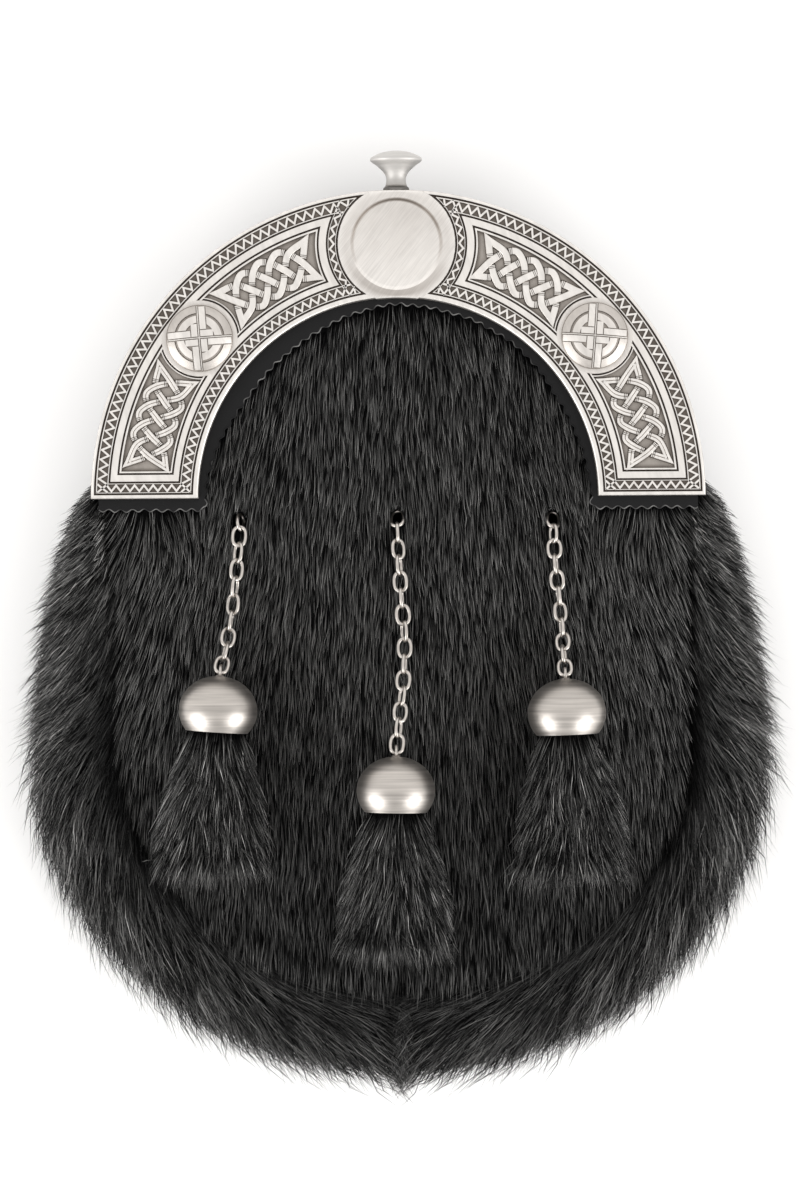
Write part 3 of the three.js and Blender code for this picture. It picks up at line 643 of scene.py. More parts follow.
def ribbon(places, under, over, corner, half, incised):
    """Flat-topped ribbon along a run, with two bars cut across it at each dip and a mitre at each end."""
    line = curve(places)
    along = lengths(line)
    nodes = along[::24][: len(places)]
    stations = np.linspace(0, along[-1], int(along[-1] / 0.3))
    marks, sunk = [], []
    for dip in nodes[under]:
        away = np.abs(stations - dip)
        stations = stations[(away < BARS[0] - 0.15) | (away > BARS[1] + 0.15)]
        for bar in BARS:
            for way in (-1, 1):
                marks.append(dip + way * (bar + BAR_HALF * np.array([-1, -0.6, 0.6, 1])))
                sunk.append([0, 1, 1, 0])
    where = np.concatenate([stations, *marks])
    notch = np.concatenate([np.zeros(len(stations)), *sunk])
    keep = (where >= 0) & (where <= along[-1])
    order = np.argsort(where[keep], kind="stable")
    where, notch = where[keep][order], notch[keep][order]
    path = at_lengths(line, where)
    to_under, to_over = (np.abs(where[:, None] - nodes[mask][None]).min(1) for mask in (under, over))
    top = PLAIT_HIGH["plain"] + PLAIT_HIGH["over"] * np.exp(-((to_over / 1.1) ** 2))
    top += PLAIT_HIGH["under"] * np.clip((DIP[1] - to_under) / (DIP[1] - DIP[0]), 0, 1)
    across = mitred(path, half, False)
    across[0], across[-1] = corner
    rows = [(-1.14, None, 0.02), (-0.93, -0.14, 0.55), (-0.78, 0, 1), (-0.16, 0.02, 1)]
    rows += [(0, 0.02 - incised, 1 - 2.6 * incised)] + [(-out, drop, tone) for out, drop, tone in rows[::-1]]
    rings, tones = [], []
    for out, drop, tone in rows:
        high = np.full(len(path), FLOOR - 0.1) if drop is None else top + drop - 0.16 * notch
        rings.append(np.column_stack([path + out * across, high]))
        tones.append(tone * (1 - 0.55 * notch) * np.clip(to_under - DIP[0] + 0.1, 0.1, 0.3) / 0.3)
    return bridge(np.stack(rings, axis=1), np.stack(tones, axis=1).ravel())


def plait(panel, side):
    runs = plait_runs(panel["angle"], side)
    shapes = []
    for i, (places, under, over) in enumerate(runs):
        if panel["swap"]:
            under, over = over, under
        before, after = runs[i - 1][0], runs[(i + 1) % len(runs)][0]
        corner = []
        for a, b, c in ((before[-2], places[0], places[1]), (places[-2], places[-1], after[1])):
            arrive, leave = unit(b - a), unit(c - b)
            bisector = unit(arrive + leave)
            stretch = max(float(bisector @ leave), 0.33)
            corner.append(leftward(bisector) * panel["half"] / stretch)
        shapes.append(ribbon(places, under, over, corner, panel["half"], panel["incised"]))
    return shapes


def dome(radius):
    return BOSS["high"] * np.maximum(1 - (radius / BOSS["radius"]) ** 2, 0) ** 0.8


def raised_patch(flat, lift, worn=0.92):
    """Patch of relief on the boss from a grid of flat places, with its edge carried down to the dome."""
    grid = np.pad(flat, ((1, 1), (1, 1), (0, 0)), mode="edge")
    top = np.zeros(grid.shape[:2], bool)
    top[1:-1, 1:-1] = True
    high = dome(np.linalg.norm(grid, axis=-1)) + np.where(top, lift, -0.25)
    tone = np.where(top, worn, 0.35).ravel()
    return bridge(np.dstack([grid, high]), tone, closed=False, caps=False)


def boss(side):
    """Dome with a cross of paired bars woven over and under two rings."""
    groove, bar, gap = 0.34, 1.84, 0.22
    short, rings = 3.45, [(3.75, 5.5), (6.15, 7.95)]
    shapes = []
    for quarter in range(4):
        quarter_turn = spin(math.radians(90 * quarter))[:2, :2]

        def patch(along, out):
            grid = np.stack(np.meshgrid(along, out, indexing="ij"), axis=-1)
            return grid @ quarter_turn

        long_bar = patch(np.linspace(bar + gap, 7.7, 14), np.linspace(groove, bar, 4))
        short_bar = patch(np.linspace(groove, bar, 4), np.linspace(groove, short, 8))
        ridge = patch(np.linspace(0, 7.9, 16), np.linspace(-0.1, 0.1, 3))
        shapes += [raised_patch(part, BOSS["lift"]) for part in (long_bar, short_bar, ridge)]
        for inner, outer in rings:
            radius = np.linspace(inner, outer, 5)[:, None]
            share = np.linspace(0, 1, 14)[None, :]
            start = np.arcsin((bar + gap) / radius)
            angle = start + (np.arccos(groove / radius) - start) * share
            arc = np.stack([radius * np.cos(angle), radius * np.sin(angle)], axis=-1)
            shapes.append(raised_patch(arc @ quarter_turn, BOSS["lift"], 0.86 if outer < 6 else 0.68))
    radius = np.linspace(1, 0, 14)
    profile = [(-0.4, BOSS["radius"])] + [(dome(r), r) for r in BOSS["radius"] * np.sqrt(radius)]
    shapes.append(lathe(profile, 48, [0.3] + [0.42] * len(radius)))
    raised = join(shapes)
    raised.points = raised.points @ spin(math.radians(BOSS["turn"]))
    raised.points[:, 0] *= side
    middle = polar(BOSS["at"], math.radians(BOSS["angle"]), side)
    raised.points += (*middle, FACE_HIGH)
    return [raised, boss_seat(middle), *boss_ridges(middle)]


def clipped(flat, low, high):
    """Flat places drawn in to lie between two radii about the cantle's centre."""
    radius = np.linalg.norm(flat, axis=-1, keepdims=True)
    return flat * np.clip(radius, low, high) / radius


def boss_seat(middle):
    """Plain ring round the dome, flush with the bands beside it."""
    angle = circle(96)
    rings = []
    for inset, high in ((0, 1), (0, FACE_HIGH - 0.1), (0.12, FACE_HIGH + 0.02), (BOSS_SEAT - 4, FACE_HIGH + 0.03)):
        flat = clipped(middle + polar(BOSS_SEAT - inset, angle), *BOSS_REACH)
        rings.append(at_height(flat, high))
    return bridge(rings, np.repeat([0.2, 0.6, 0.9, 0.5], len(angle)))


def boss_ridges(middle):
    """Raised line and dark groove that border the boss inside the panels' window."""
    angle = circle(360)
    radius = np.linalg.norm(middle + polar(BOSS_RIDGE[3][0], angle), axis=1)
    inside = (radius > FIELD["window"][1] - 0.35) & (radius < FIELD["window"][0] + 0.35)
    first = int(np.argmax(~inside))
    angle, inside = np.roll(angle, -first), np.roll(inside, -first)
    edges = np.flatnonzero(np.diff(inside.astype(int)))
    rows = [*BOSS_RIDGE, (BOSS_RIDGE[-1][0], 1.8, 0.2), (BOSS_RIDGE[0][0], 1.8, 0.2)]
    shapes = []
    for start, end in zip(edges[::2], edges[1::2]):
        arc = angle[start + 1 : end + 1]
        rings = np.stack([at_height(middle + polar(row[0], arc), row[1]) for row in rows], axis=1)
        shapes.append(bridge(rings, np.tile([row[2] for row in rows], len(arc))))
    return shapes


def block(x, y, z, tone):
    corners = [(x[0], y[0]), (x[1], y[0]), (x[1], y[1]), (x[0], y[1])]
    return bridge([[(*corner, high) for corner in corners] for high in z], tone)


def cantle():
    shapes = [block((-LUG["half"], LUG["half"]), (LUG["low"], LUG["high"]), (-LUG["deep"], 1), 0.6)]
    for side in (1, -1):
        shapes += [field(side), *zigzag(side), *boss(side)]
        for panel in PANELS:
            shapes += plait(panel, side)
    whole = join(shapes)
    whole.points[:, 2] += CANTLE_BACK
    return whole


def roundel_disc():
    """Plain disc between the halves, cut to the ring's edges, with a shallow soft-edged dish and painted shade on the
    ring and the dish.
    """
    angle = circle(720)
    rings, tones = [], []
    for inset, high, tone in RIM:
        flat = clipped(polar(ROUNDEL, angle) + (0, ROUNDEL_Y), RING_INNER - 0.25 + inset, RING_OUTER - inset)
        rings.append(at_height(flat, high))
        tones.append(tone + 0 * angle)
    rows = [(12.6, FACE_HIGH, 0)]
    for t in np.linspace(0, 1, 14):
        rows.append((11.4 - 1.1 * t, FACE_HIGH - 0.4 * ease(t), math.sin(math.pi * t)))
    rows += [(r, FACE_HIGH - 0.4 - 0.3 * (1 - (r / 10.3) ** 2), 0) for r in (9, 7.5, 6, 4.5, 3, 1.5, 0.3)]
    for radius, high, wall in rows:
        flat = polar(radius, angle) + (0, ROUNDEL_Y)
        rings.append(at_height(flat, high))
        # Painted shade: the ring darker towards the bottom, the dish darker towards the top, and the dish's wall
        # darkest along its upper side
        low = np.clip((ROUNDEL_Y - 4 - flat[:, 1]) / 7, 0, 1)
        high_side = np.clip((flat[:, 1] - ROUNDEL_Y + 9) / 18, 0, 1)
        shade = 0.08 + 0.27 * low if radius > 11.3 else -0.02 + 0.14 * high_side
        tones.append(0.97 - shade - wall * 0.65 * np.clip(np.sin(angle) + 0.55, 0, 1))
    shape = bridge(rings, np.concatenate(tones))
    shape.points[:, 2] += CANTLE_BACK
    return shape


def knob():
    line = curve([row[:2] for row in KNOB_PROFILE], 4)
    tone = np.interp(line[:, 0], [row[0] for row in KNOB_PROFILE], [row[2] for row in KNOB_PROFILE])
    shape = lathe(line, 72, tone)
    shape.points = shape.points[:, [0, 2, 1]] + (0, KNOB_FOOT, CANTLE_BACK)
    return shape


# Leather


def arch_degrees(x, y):
    """Degrees up the arch from either leg."""
    return np.degrees(np.arctan2(np.maximum(y, 0), np.abs(x)))


def leather_shows(x, y):
    """How far the leather shows inside the ring, which is less up the right side."""
    up = arch_degrees(x, y)
    return read_table(BACKING_SHOWS, up) * np.where(x > 0, read_table(BACKING_RIGHT, up), 1)


def hair_limit(x, y):
    """Farthest that the front's hair lies from the arch's centre."""
    up = arch_degrees(x, y)
    return read_table(HAIR_LIMIT, up) + read_table(BACKING_SHOWS, up) - leather_shows(x, y)


def backing_line():
    """Cut edge of the leather: along one leg's foot, round the arch and along the other foot."""
    angle = np.linspace(0.0, math.pi, 240)
    arch = polar(RING_INNER - leather_shows(np.cos(angle), np.sin(angle)), angle)
    side = arch[0, 0]
    feet = []
    for ends in ((BACKING["outer"], side + 1.4), (-side - 1.4, -BACKING["outer"])):
        feet.append(np.column_stack([np.linspace(*ends, 40), np.full(40, -BACKING["below"])]))
    corner = np.array([(side + 0.5, -BACKING["below"] + 0.3), (side, -BACKING["below"] + 1.2)])
    line = np.vstack([feet[0], corner, arch, corner[::-1] * (-1, 1), feet[1]])
    along = lengths(line)
    where = np.linspace(0, along[-1], int(along[-1] / WAVE_PITCH * 12))
    even = at_lengths(line, where)
    across = mitred(even, 1.0, False)
    wave = np.sin(2 * math.pi * where / WAVE_PITCH) + 0.2 * np.sin(2 * math.pi * where / (3.7 * WAVE_PITCH))
    return even + across * (WAVE_DEEP * wave)[:, None]


def backing():
    """Leather plate under the cantle with a paler cut edge."""
    edge = backing_line()
    over = polar(BACKING["outer"], np.linspace(math.pi, 0, 120))
    plate_line = np.vstack([edge, over])
    plate = bridge([at_height(plate_line, BACKING[level]) for level in ("low", "high")], 0.25)
    rows = [(-1.2, -0.5, 0.3), (-1, 0.05, 0.8), (0, 0.12, 1), (1, 0.05, 0.8), (1.4, -0.5, 0.3)]
    cut = swept(edge, 0.13, [(out, BACKING["high"] + rise, tone) for out, rise, tone in rows])
    broken = 0.72 + 0.28 * np.sin(np.arange(len(edge)) * 0.37) * np.sin(np.arange(len(edge)) * 0.11)
    up = arch_degrees(*edge.T)
    right = np.where(edge[:, 0] > 0, np.interp(up, [30, 70], [0.3, 1]), 1)
    broken *= np.where(edge[:, 1] > 0, np.interp(up, [18, 40], [0.25, 1]) * right, 1)
    cut.tone = cut.tone * np.repeat(broken, len(rows))
    return join([plate, cut])


def half_width(y):
    y = np.asarray(y, float)
    arch = np.sqrt(np.maximum(POUCH["half"] ** 2 - np.maximum(y, 0) ** 2, 0))
    drop = np.clip((-POUCH["straight"] - y) / POUCH["bottom"], 0, 1)
    return arch * np.sqrt(1 - drop**2)


def crown_reach(y):
    y = np.asarray(y, float)
    arch = np.sqrt(np.maximum(CROWN_ARCH**2 - np.maximum(y, 0) ** 2, 0))
    return np.maximum(np.where(y > 0, arch, np.minimum(half_width(y), CROWN_ARCH - y)), 1e-6)


def face_height(x, y):
    across = np.minimum(np.abs(x) / crown_reach(y), 1)
    return FACE + read_table(CROWN, y) * (1 - across**2)


def side_line(start, steps, low):
    """Pouch edge down the right side: from an angle up the arch, down the straight and round the bottom."""
    arch = polar(POUCH["half"], np.linspace(start, 0, steps, endpoint=False))
    fall = np.linspace(0, -POUCH["straight"], steps, endpoint=False)
    straight = np.column_stack([np.full(steps, POUCH["half"]), fall])
    under = np.column_stack([POUCH["half"] * np.cos(low), -POUCH["straight"] - POUCH["bottom"] * np.sin(low)])
    return np.vstack([arch, straight, under])


def outline(steps, inset):
    """Pouch outline drawn in by an inset, from the top down the right side and up the left."""
    right = side_line(math.pi / 2, steps, np.linspace(0, math.pi / 2, steps + 1))
    whole = np.vstack([right, right[-2:0:-1] * (-1, 1)])
    return whole + mitred(whole, inset, True) * -1


def front_hide():
    """Crowned hide of the front, before the chains' holes are cut."""
    bottom = np.sin(np.linspace(0, math.pi / 2, 40)[1:]) * (POUCH["bottom"] - 0.05)
    y = np.concatenate([np.linspace(POUCH["half"] - 0.1, -POUCH["straight"], 70), -POUCH["straight"] - bottom])
    share = np.linspace(-1, 1, 41)
    x = half_width(y)[:, None] * share
    rows = np.broadcast_to(y[:, None], x.shape)
    top = np.dstack([x, rows, face_height(x, rows)])
    under = top[:, ::-1] - (0, 0, HIDE)
    return bridge(np.concatenate([top, under], axis=1), 0.05)


def back_panel():
    low, high = BACK
    rows = [(2, high), (0.3, high - 0.1), (0, high - 0.6), (0, low + 0.6), (0.3, low + 0.1), (2, low)]
    return bridge([at_height(outline(60, inset), level) for inset, level in rows], 0.15)


def stitches(line, spacing, high, half_long=1.25, radius=0.32):
    """Row of thread stitches laid along a line, half sunk at a height."""
    along = lengths(line)
    where = np.arange(spacing / 2, along[-1], spacing)
    middle = at_lengths(line, where)
    ahead = unit(at_lengths(line, where + 0.2) - middle)
    across = leftward(ahead)
    shapes = []
    turn = circle(8)
    for centre, forward, side in zip(middle, ahead, across):
        rings = []
        for share in (-1, -0.75, 0, 0.75, 1):
            size = radius * math.sqrt(max(1 - share**4, 0.02))
            flat = centre + forward * share * half_long + np.outer(np.cos(turn) * size, side)
            rings.append(np.column_stack([flat, high + np.sin(turn) * size]))
        shapes.append(bridge(rings, 0.5))
    return shapes


def keeper():
    """Bridge of leather behind the back, with a rounded edge all along its sides."""
    side = [(-16, 6.8), (-9, 6.8), (-6.5, 5.4), (-4.5, 2.6), (-2, 0.9), (2, 0.9), (15, 0.9)]
    path = curve(side + [(30 - y, z) for y, z in side[-2::-1]], 8)
    ahead = np.gradient(path, axis=0)
    normal = unit(leftward(ahead))
    wide, thick = 20, 0.9
    section = [(-1, 0), (-0.985, 0.7), (-0.96, 1), (0.96, 1), (0.985, 0.7)]
    section += [(-u, -v) for u, v in section]
    rings = []
    for (y, z), (ny, nz) in zip(path, normal):
        rings.append([(wide * u, y + ny * thick * v, max(z + nz * thick * v, 0)) for u, v in section])
    shapes = [bridge(rings, 0.2)]
    for y in (-14.3, -10.2, 40.2, 44.3):
        shapes += stitches(np.array([(-18, y), (18, y)], float), 3.4, 5.95)
    return join(shapes)


# Chains and bells


def bell_place(drop):
    x, y = drop["bell"]
    return np.array([x, y, float(face_height(x, y)) + BELL["radius"] + BELL["rest"]])


def eye_place(drop):
    reach = BELL["widest"] + BELL["rise"] + EYE["above"]
    lean = math.radians(drop["lean"])
    return bell_place(drop) + (-math.sin(lean) * reach, math.cos(lean) * reach, 0)


def oval(span, wide, wire, turns=28, sides=10):
    """Closed link of round wire, longer along X."""
    around = circle(turns)[:, None]
    about = circle(sides)[None, :]
    middle = (wide - wire) / 2
    radius = middle + wire / 2 * np.cos(about)
    x = radius * np.cos(around)
    x = x + np.tanh(np.cos(around) * 2.2) * (span - wide) / 2 / math.tanh(2.2)
    return torus_links(np.dstack([x, radius * np.sin(around), wire / 2 * np.sin(about) + 0 * around]))


def chain(drop, seed):
    """Cable chain from its hole to the bell's eye, with links that lie a little turned."""
    x, y = drop["hole"]
    face = float(face_height(x, y))
    start = np.array([x + 0.3, y + 1.3, face - 2.4])
    rise = np.array([x, y - 1.9, face + 1.2])
    way = [(vx, vy, float(face_height(vx, vy)) + CHAIN_CLEAR) for vx, vy in drop["via"]]
    line = curve([rise, *way, eye_place(drop)])
    count = round(lengths(line)[-1] / LINK["pitch"])
    joints = np.vstack([start, at_lengths(line, np.linspace(0, lengths(line)[-1], count + 1))])
    rng = np.random.default_rng(seed)
    shapes = []
    for i, (a, b) in enumerate(zip(joints, joints[1:])):
        along = unit(b - a)
        side = unit(np.cross((0, 0, 1), along))
        up = np.cross(along, side)
        lean = 24 * math.cos(1.3 * i + seed) + rng.uniform(-14, 14) if i < count else 0
        roll = (count - i) * math.pi / 2 + math.radians(lean)
        normal = up * math.cos(roll) - side * math.sin(roll)
        across = np.cross(normal, along)
        shape = oval(np.linalg.norm(b - a) + LINK["long"] - LINK["pitch"], LINK["wide"], LINK["wire"])
        shape.points = shape.points @ np.stack([along, across, normal]) + (a + b) / 2
        shapes.append(shape)
    return join(shapes)


def bell(drop):
    """Domed cap with a rounded lip and an eye on top."""
    outer, rise, widest, lip = BELL["radius"], BELL["rise"], BELL["widest"], BELL["lip"]
    thin = 1 - BELL["wall"] / outer
    low = math.asin((lip - widest) / rise)
    rows = [(widest + rise * math.sin(a), outer * math.cos(a), 1) for a in np.linspace(math.pi / 2 - 0.01, low, 40)]
    edge = rows[-1][1]
    rows += [(lip - 0.2, edge - 0.12, 0.8), (lip - 0.28, edge - 0.5, 0.5), (lip - 0.18, edge - 0.95, 0.2)]
    inside = np.linspace(low, math.pi / 2 - 0.02, 14)
    rows += [(widest + thin * rise * math.sin(a), thin * outer * math.cos(a), 0.05) for a in inside]
    shape = lathe([row[:2] for row in rows], 96, [row[2] for row in rows])
    ring = oval(2 * EYE["radius"] + EYE["wire"], 2 * EYE["radius"] + EYE["wire"], EYE["wire"])
    ring.points = ring.points[:, [2, 0, 1]] + (0, widest + rise + EYE["above"], 0)
    collar = lathe([(-0.5, 1.2), (0.15, 1.15), (0.35, 0.8), (0.4, 0.1)], 24, 0.5)
    collar.points[:, 2] += widest + rise
    for turned in (shape, collar):
        turned.points = turned.points[:, [0, 2, 1]] * (1, 1, -1)
    whole = join([shape, ring, collar])
    lean = math.radians(drop["lean"])
    whole.points = whole.points @ spin(lean) + bell_place(drop)
    return whole


# Fur


# Size of a hair's rings from its root
HAIR_RINGS = (1, 0.78)


def spikes(stations, width, tones, rng):
    """Closed three-sided hairs: a ring at every station but the last, which is the tip."""
    count = stations.shape[1]
    along = unit(stations[-1] - stations[0])
    helper = np.where(np.abs(along[:, 2:]) < 0.9, (0.0, 0.0, 1.0), (1.0, 0.0, 0.0))
    side = unit(np.cross(along, helper))
    up = np.cross(along, side)
    turn = rng.uniform(0, 2 * math.pi, count)
    rows = []
    tone_rows = []
    for k, (station, share) in enumerate(zip(stations[:-1], HAIR_RINGS)):
        for corner in range(3):
            angle = (turn + corner * 2 * math.pi / 3)[:, None]
            rows.append(station + (width * share / 2)[:, None] * (np.cos(angle) * side + np.sin(angle) * up))
            tone_rows.append(tones[k])
    points = np.stack([*rows, stations[-1]], axis=1)
    tone = np.stack([*tone_rows, tones[-1]], axis=1)
    rings = len(stations) - 1
    faces = [(0, 2, 1)]
    for r in range(rings - 1):
        for a, b in ((3 * r + k, 3 * r + (k + 1) % 3) for k in range(3)):
            faces += [(a, b, b + 3), (a, b + 3, a + 3)]
    last = 3 * (rings - 1)
    faces += [(last + k, last + (k + 1) % 3, last + 3) for k in range(3)]
    starts = np.arange(count)[:, None, None] * points.shape[1]
    return Shape(points, [(np.array(faces)[None] + starts).reshape(-1, 3)], tone.ravel())


# Share of all hairs painted near white as glints
PAINTED_GLINTS = 0.08


def sheen_painted_tones(rng, count, share):
    """Tones for hairs: a share of them bright as painted sheen, a few near white as painted glints, and the rest dark.
    """
    tone = np.where(rng.uniform(0, 1, count) < share, rng.uniform(0.5, 0.9, count), rng.uniform(0.02, 0.3, count))
    return np.where(rng.uniform(0, 1, count) < PAINTED_GLINTS, 1.0, tone)


def hair_tones(bright, stations):
    """Tones from root to tip: roots painted darker as shade within the fur."""
    return [bright * share for share in ((0.2, 0.9, 1) if stations == 3 else (0.5, 1))]


# Front hairs: how many, how far apart and how far from an even grid
FRONT_HAIRS = 49000
FRONT_GRID = 0.6
FRONT_STRAY = 0.4
# Degrees that the front's hair turns from straight down by distance from the middle line, and the share by height
FRONT_SPREAD = [(0, 0), (20, 4), (40, 9), (52, 11), (60, 16), (71, 26)]
SPREAD_HOLDS = [(-105, 0.05), (-80, 0.35), (-30, 1)]
# The same under the cantle's legs, where it parts
LEG_FAN = [(46, 0), (52, -9), (57, -14), (61, 0), (65, 20), (71, 42)]
# How bright the front's hair and its painted sheen are by height
FRONT_LIGHT = [(-110, 0.86), (-85, 0.93), (-40, 1.08), (10, 0.96), (45, 0.92)]


def front_fur():
    """Short hair lying down the front, spreading a little to each side."""
    rng = np.random.default_rng(3)
    spans = [np.arange(low, high, FRONT_GRID) for low, high in ((-71, 71), (-119, 50))]
    flat = np.stack(np.meshgrid(*spans), axis=-1).reshape(-1, 2)
    flat = rng.permutation(flat + rng.uniform(-FRONT_STRAY, FRONT_STRAY, flat.shape))
    x, y = flat.T
    inside = (np.abs(x) < half_width(y) - 0.8) & ((y < -1) | (np.hypot(x, y) < hair_limit(x, y) + 1.5))
    for drop in DROPS.values():
        inside &= np.hypot(*(flat - drop["hole"]).T) > CHAIN_HOLE + 0.1
    flat = flat[inside][:FRONT_HAIRS]
    x, y = flat.T
    count = len(flat)
    side = np.sign(x)
    out = np.abs(x)
    spread = side * read_table(FRONT_SPREAD, out) * read_table(SPREAD_HOLDS, y)
    fan = side * read_table(LEG_FAN, out)
    foot = np.interp(y, [-16, -6], [0, 1]) * np.interp(out, [44, 48], [0, 1])
    wave = 3.5 * ripple(flat, 24, 21) + 3.5 * ripple(flat, 5, 22)
    turn = np.radians(spread + (fan - spread) * foot + wave + rng.normal(0, 4, count))
    long = rng.uniform(4.5, 8, count)
    bright = sheen_painted_tones(rng, count, 0.48) + 0.05 * ripple(flat, 9, 23)
    bright *= read_table(FRONT_LIGHT, y)
    lift = 0.5 + 1.5 * np.clip(0.5 * bright + 0.5 * rng.uniform(0, 1, count), 0, 1)
    way = np.column_stack([np.sin(turn), -np.cos(turn)])
    reach = long.copy()
    for share in (1, 0.8, 0.6, 0.4, 0.25):
        tip = flat + way * (long * share)[:, None]
        near = tip[:, 1] > 0
        over = near & (np.hypot(*tip.T) > hair_limit(*tip.T))
        for drop in DROPS.values():
            over |= np.hypot(*(tip - drop["hole"]).T) < CHAIN_HOLE * 0.9
        reach = np.where(over, long * (share - 0.15), reach)
    tip = flat + way * reach[:, None]
    lift *= np.clip(reach / long + 0.2, 0.4, 1)
    root = np.column_stack([flat, face_height(*flat.T) - 0.3])
    outside = np.clip(np.abs(tip[:, 0]) - half_width(tip[:, 1]), 0, 4)
    hem = np.interp(tip[:, 1], [-112, -95], [1, 0])
    end = np.column_stack([tip, face_height(*tip.T) + lift + (0.7 * hem - 0.25) * outside + 0.2 * hem])
    # Near the hem, painted highlight on tips that reach past the outline, and the rest a little darker
    bright = bright * (1 - 0.1 * hem) + 0.1 * hem * np.clip(outside / 3, 0, 1)
    leather = RING_INNER - leather_shows(*tip.T)
    laps = (tip[:, 1] > -1) & (np.hypot(*tip.T) > leather - 0.5) & (np.hypot(*flat.T) < leather)
    end[:, 2] = np.where(laps, np.maximum(end[:, 2], BACKING["high"] + 0.5), end[:, 2])
    width = np.interp(bright, [0, 1], [0.27, 0.4]) * rng.uniform(0.85, 1.15, count)
    bright = np.clip(bright, 0.04, 1)
    # Roots painted darker than tips, as shade within the fur
    return spikes(np.stack([root, end]), width, [0.4 * bright, bright], rng)


def seam_table():
    """Distance along the seam from the cantle's leg, place and way out, carried past the middle of the bottom."""
    leg = 60
    line = side_line(math.radians(MOUTH_FROM), leg, np.linspace(0, math.pi / 2 + 0.5, 200))
    along = lengths(line) - lengths(line)[leg]
    ahead = unit(np.gradient(line, axis=0))
    return along, line, leftward(ahead)


SEAM = seam_table()
SEAM_END = 162.3


def roll_place(along, row, swell, side):
    """Point on the gusset's fur: along the seam, round the roll by table row, and out by a share of the depth."""
    table, line, out = SEAM
    where = np.stack([np.interp(along, table, line[:, k]) for k in range(2)], axis=-1)
    way = np.stack([np.interp(along, table, out[:, k]) for k in range(2)], axis=-1)
    rows = np.arange(len(ROLL))
    share = np.interp(row, rows, [r[0] for r in ROLL])
    high = np.interp(row, rows, [r[1] for r in ROLL])
    hide_rows = np.linspace(0, len(ROLL) - 1, len(HIDE_LINE))
    hide_off = np.interp(row, hide_rows, [r[0] for r in HIDE_LINE])
    hide_high = np.interp(row, hide_rows, [r[1] for r in HIDE_LINE])
    mirrored = np.minimum(along, 2 * SEAM_END - along)
    deep = read_table(FUR_DEPTH, mirrored)
    lap = LAP[side] * np.interp(mirrored, [10, 30, 95, 130], [0, 1, 1, 0]) * np.clip(1 - row / 2.5, 0, 1)
    fade = ease(np.clip((mirrored + 8) / 10, 0, 1))
    off = hide_off + (share * deep * swell - lap - hide_off) * fade
    high = hide_high + (17 + (high + LAP_RISE * lap - 17) * (0.5 + 0.5 * swell) - hide_high) * fade
    high = np.minimum(high, np.interp(mirrored, [3, 14], [29.2, 40]))
    flat = where + way * off[..., None]
    return np.stack([side * flat[..., 0], flat[..., 1], np.maximum(high, 0.35)], axis=-1)


CORE = 0.8


def on_wall(rings):
    """Closes sections of the gusset with its inner wall."""
    wall = rings[:, [-1, 0]] * (0.985, 0.99, 1.0)
    return np.concatenate([rings, wall], axis=1)


def gusset_core():
    """Dense dark underfur on the hide, which the long hair stands on."""
    along = np.linspace(-8, SEAM_END, 90)
    row = np.linspace(0, len(ROLL) - 1, 34)
    right = roll_place(along[:, None], row[None, :], CORE, 1)
    left = roll_place(along[::-1][1:, None], row[None, :], CORE, -1)
    return bridge(on_wall(np.concatenate([right, left])), 0.02)


def bead(middle, low, high, radius):
    """Round-ended upright bead of leather or thread."""
    angle = circle(14)
    turn = np.linspace(0.15, math.pi / 2, 5)
    ends = [(low + radius * (1 - math.sin(t)), radius * math.cos(t)) for t in turn[::-1]]
    ends += [(high - radius * (1 - math.sin(t)), radius * math.cos(t)) for t in turn]
    return bridge([at_height(polar(max(size, 0.03), angle) + middle, level) for level, size in ends], 0.3)


def gusset_walls():
    """Plain leather sides, from the fur up to the mouth, each with a bound and stitched end."""
    along = np.linspace(-math.radians(MOUTH_FROM) * POUCH["half"], -7.9, 40)
    row = np.linspace(0, len(ROLL) - 1, 22)
    shapes = []
    for side in (1, -1):
        rings = roll_place(along[:, None], row[None, :], CORE, side)
        shapes.append(bridge(on_wall(rings), 0.35))
        mouth = math.radians(MOUTH_FROM)
        way = (side, 1)
        shapes.append(bead(polar(POUCH["half"] + 1.5, mouth) * way, 8.2, 29.4, 1.5))
        for low in np.arange(10, 27, 3.2):
            shapes.append(bead(polar(POUCH["half"] + 2.75, mouth - 0.05) * way, low, low + 2.3, 0.36))
    return join(shapes)


# Hairs on each side: bent ones, and finer straight ones
SIDE_HAIRS = (9000, 24000)
# Degrees that they sweep away from the seam by distance along it, and near the bottom by row of the roll
SWEEP = [(-8, 70), (0, 62), (12, 50), (40, 35), (80, 28), (162, 28)]
LOW_SWEEP = [(0, 2), (2, 12), (4, 34), (6.5, 58)]
# Share of full length by distance along the seam, and how much darker they are by row of the roll, as painted shade in
# the valley by the seam
HAIR_GROWS = [(-8, 0.45), (0, 0.65), (15, 0.85), (60, 1), (162, 1.1)]
VALLEY_SHADE = [(0, 0.62), (0.5, 0.52), (1.3, 0.24), (2.6, 0)]


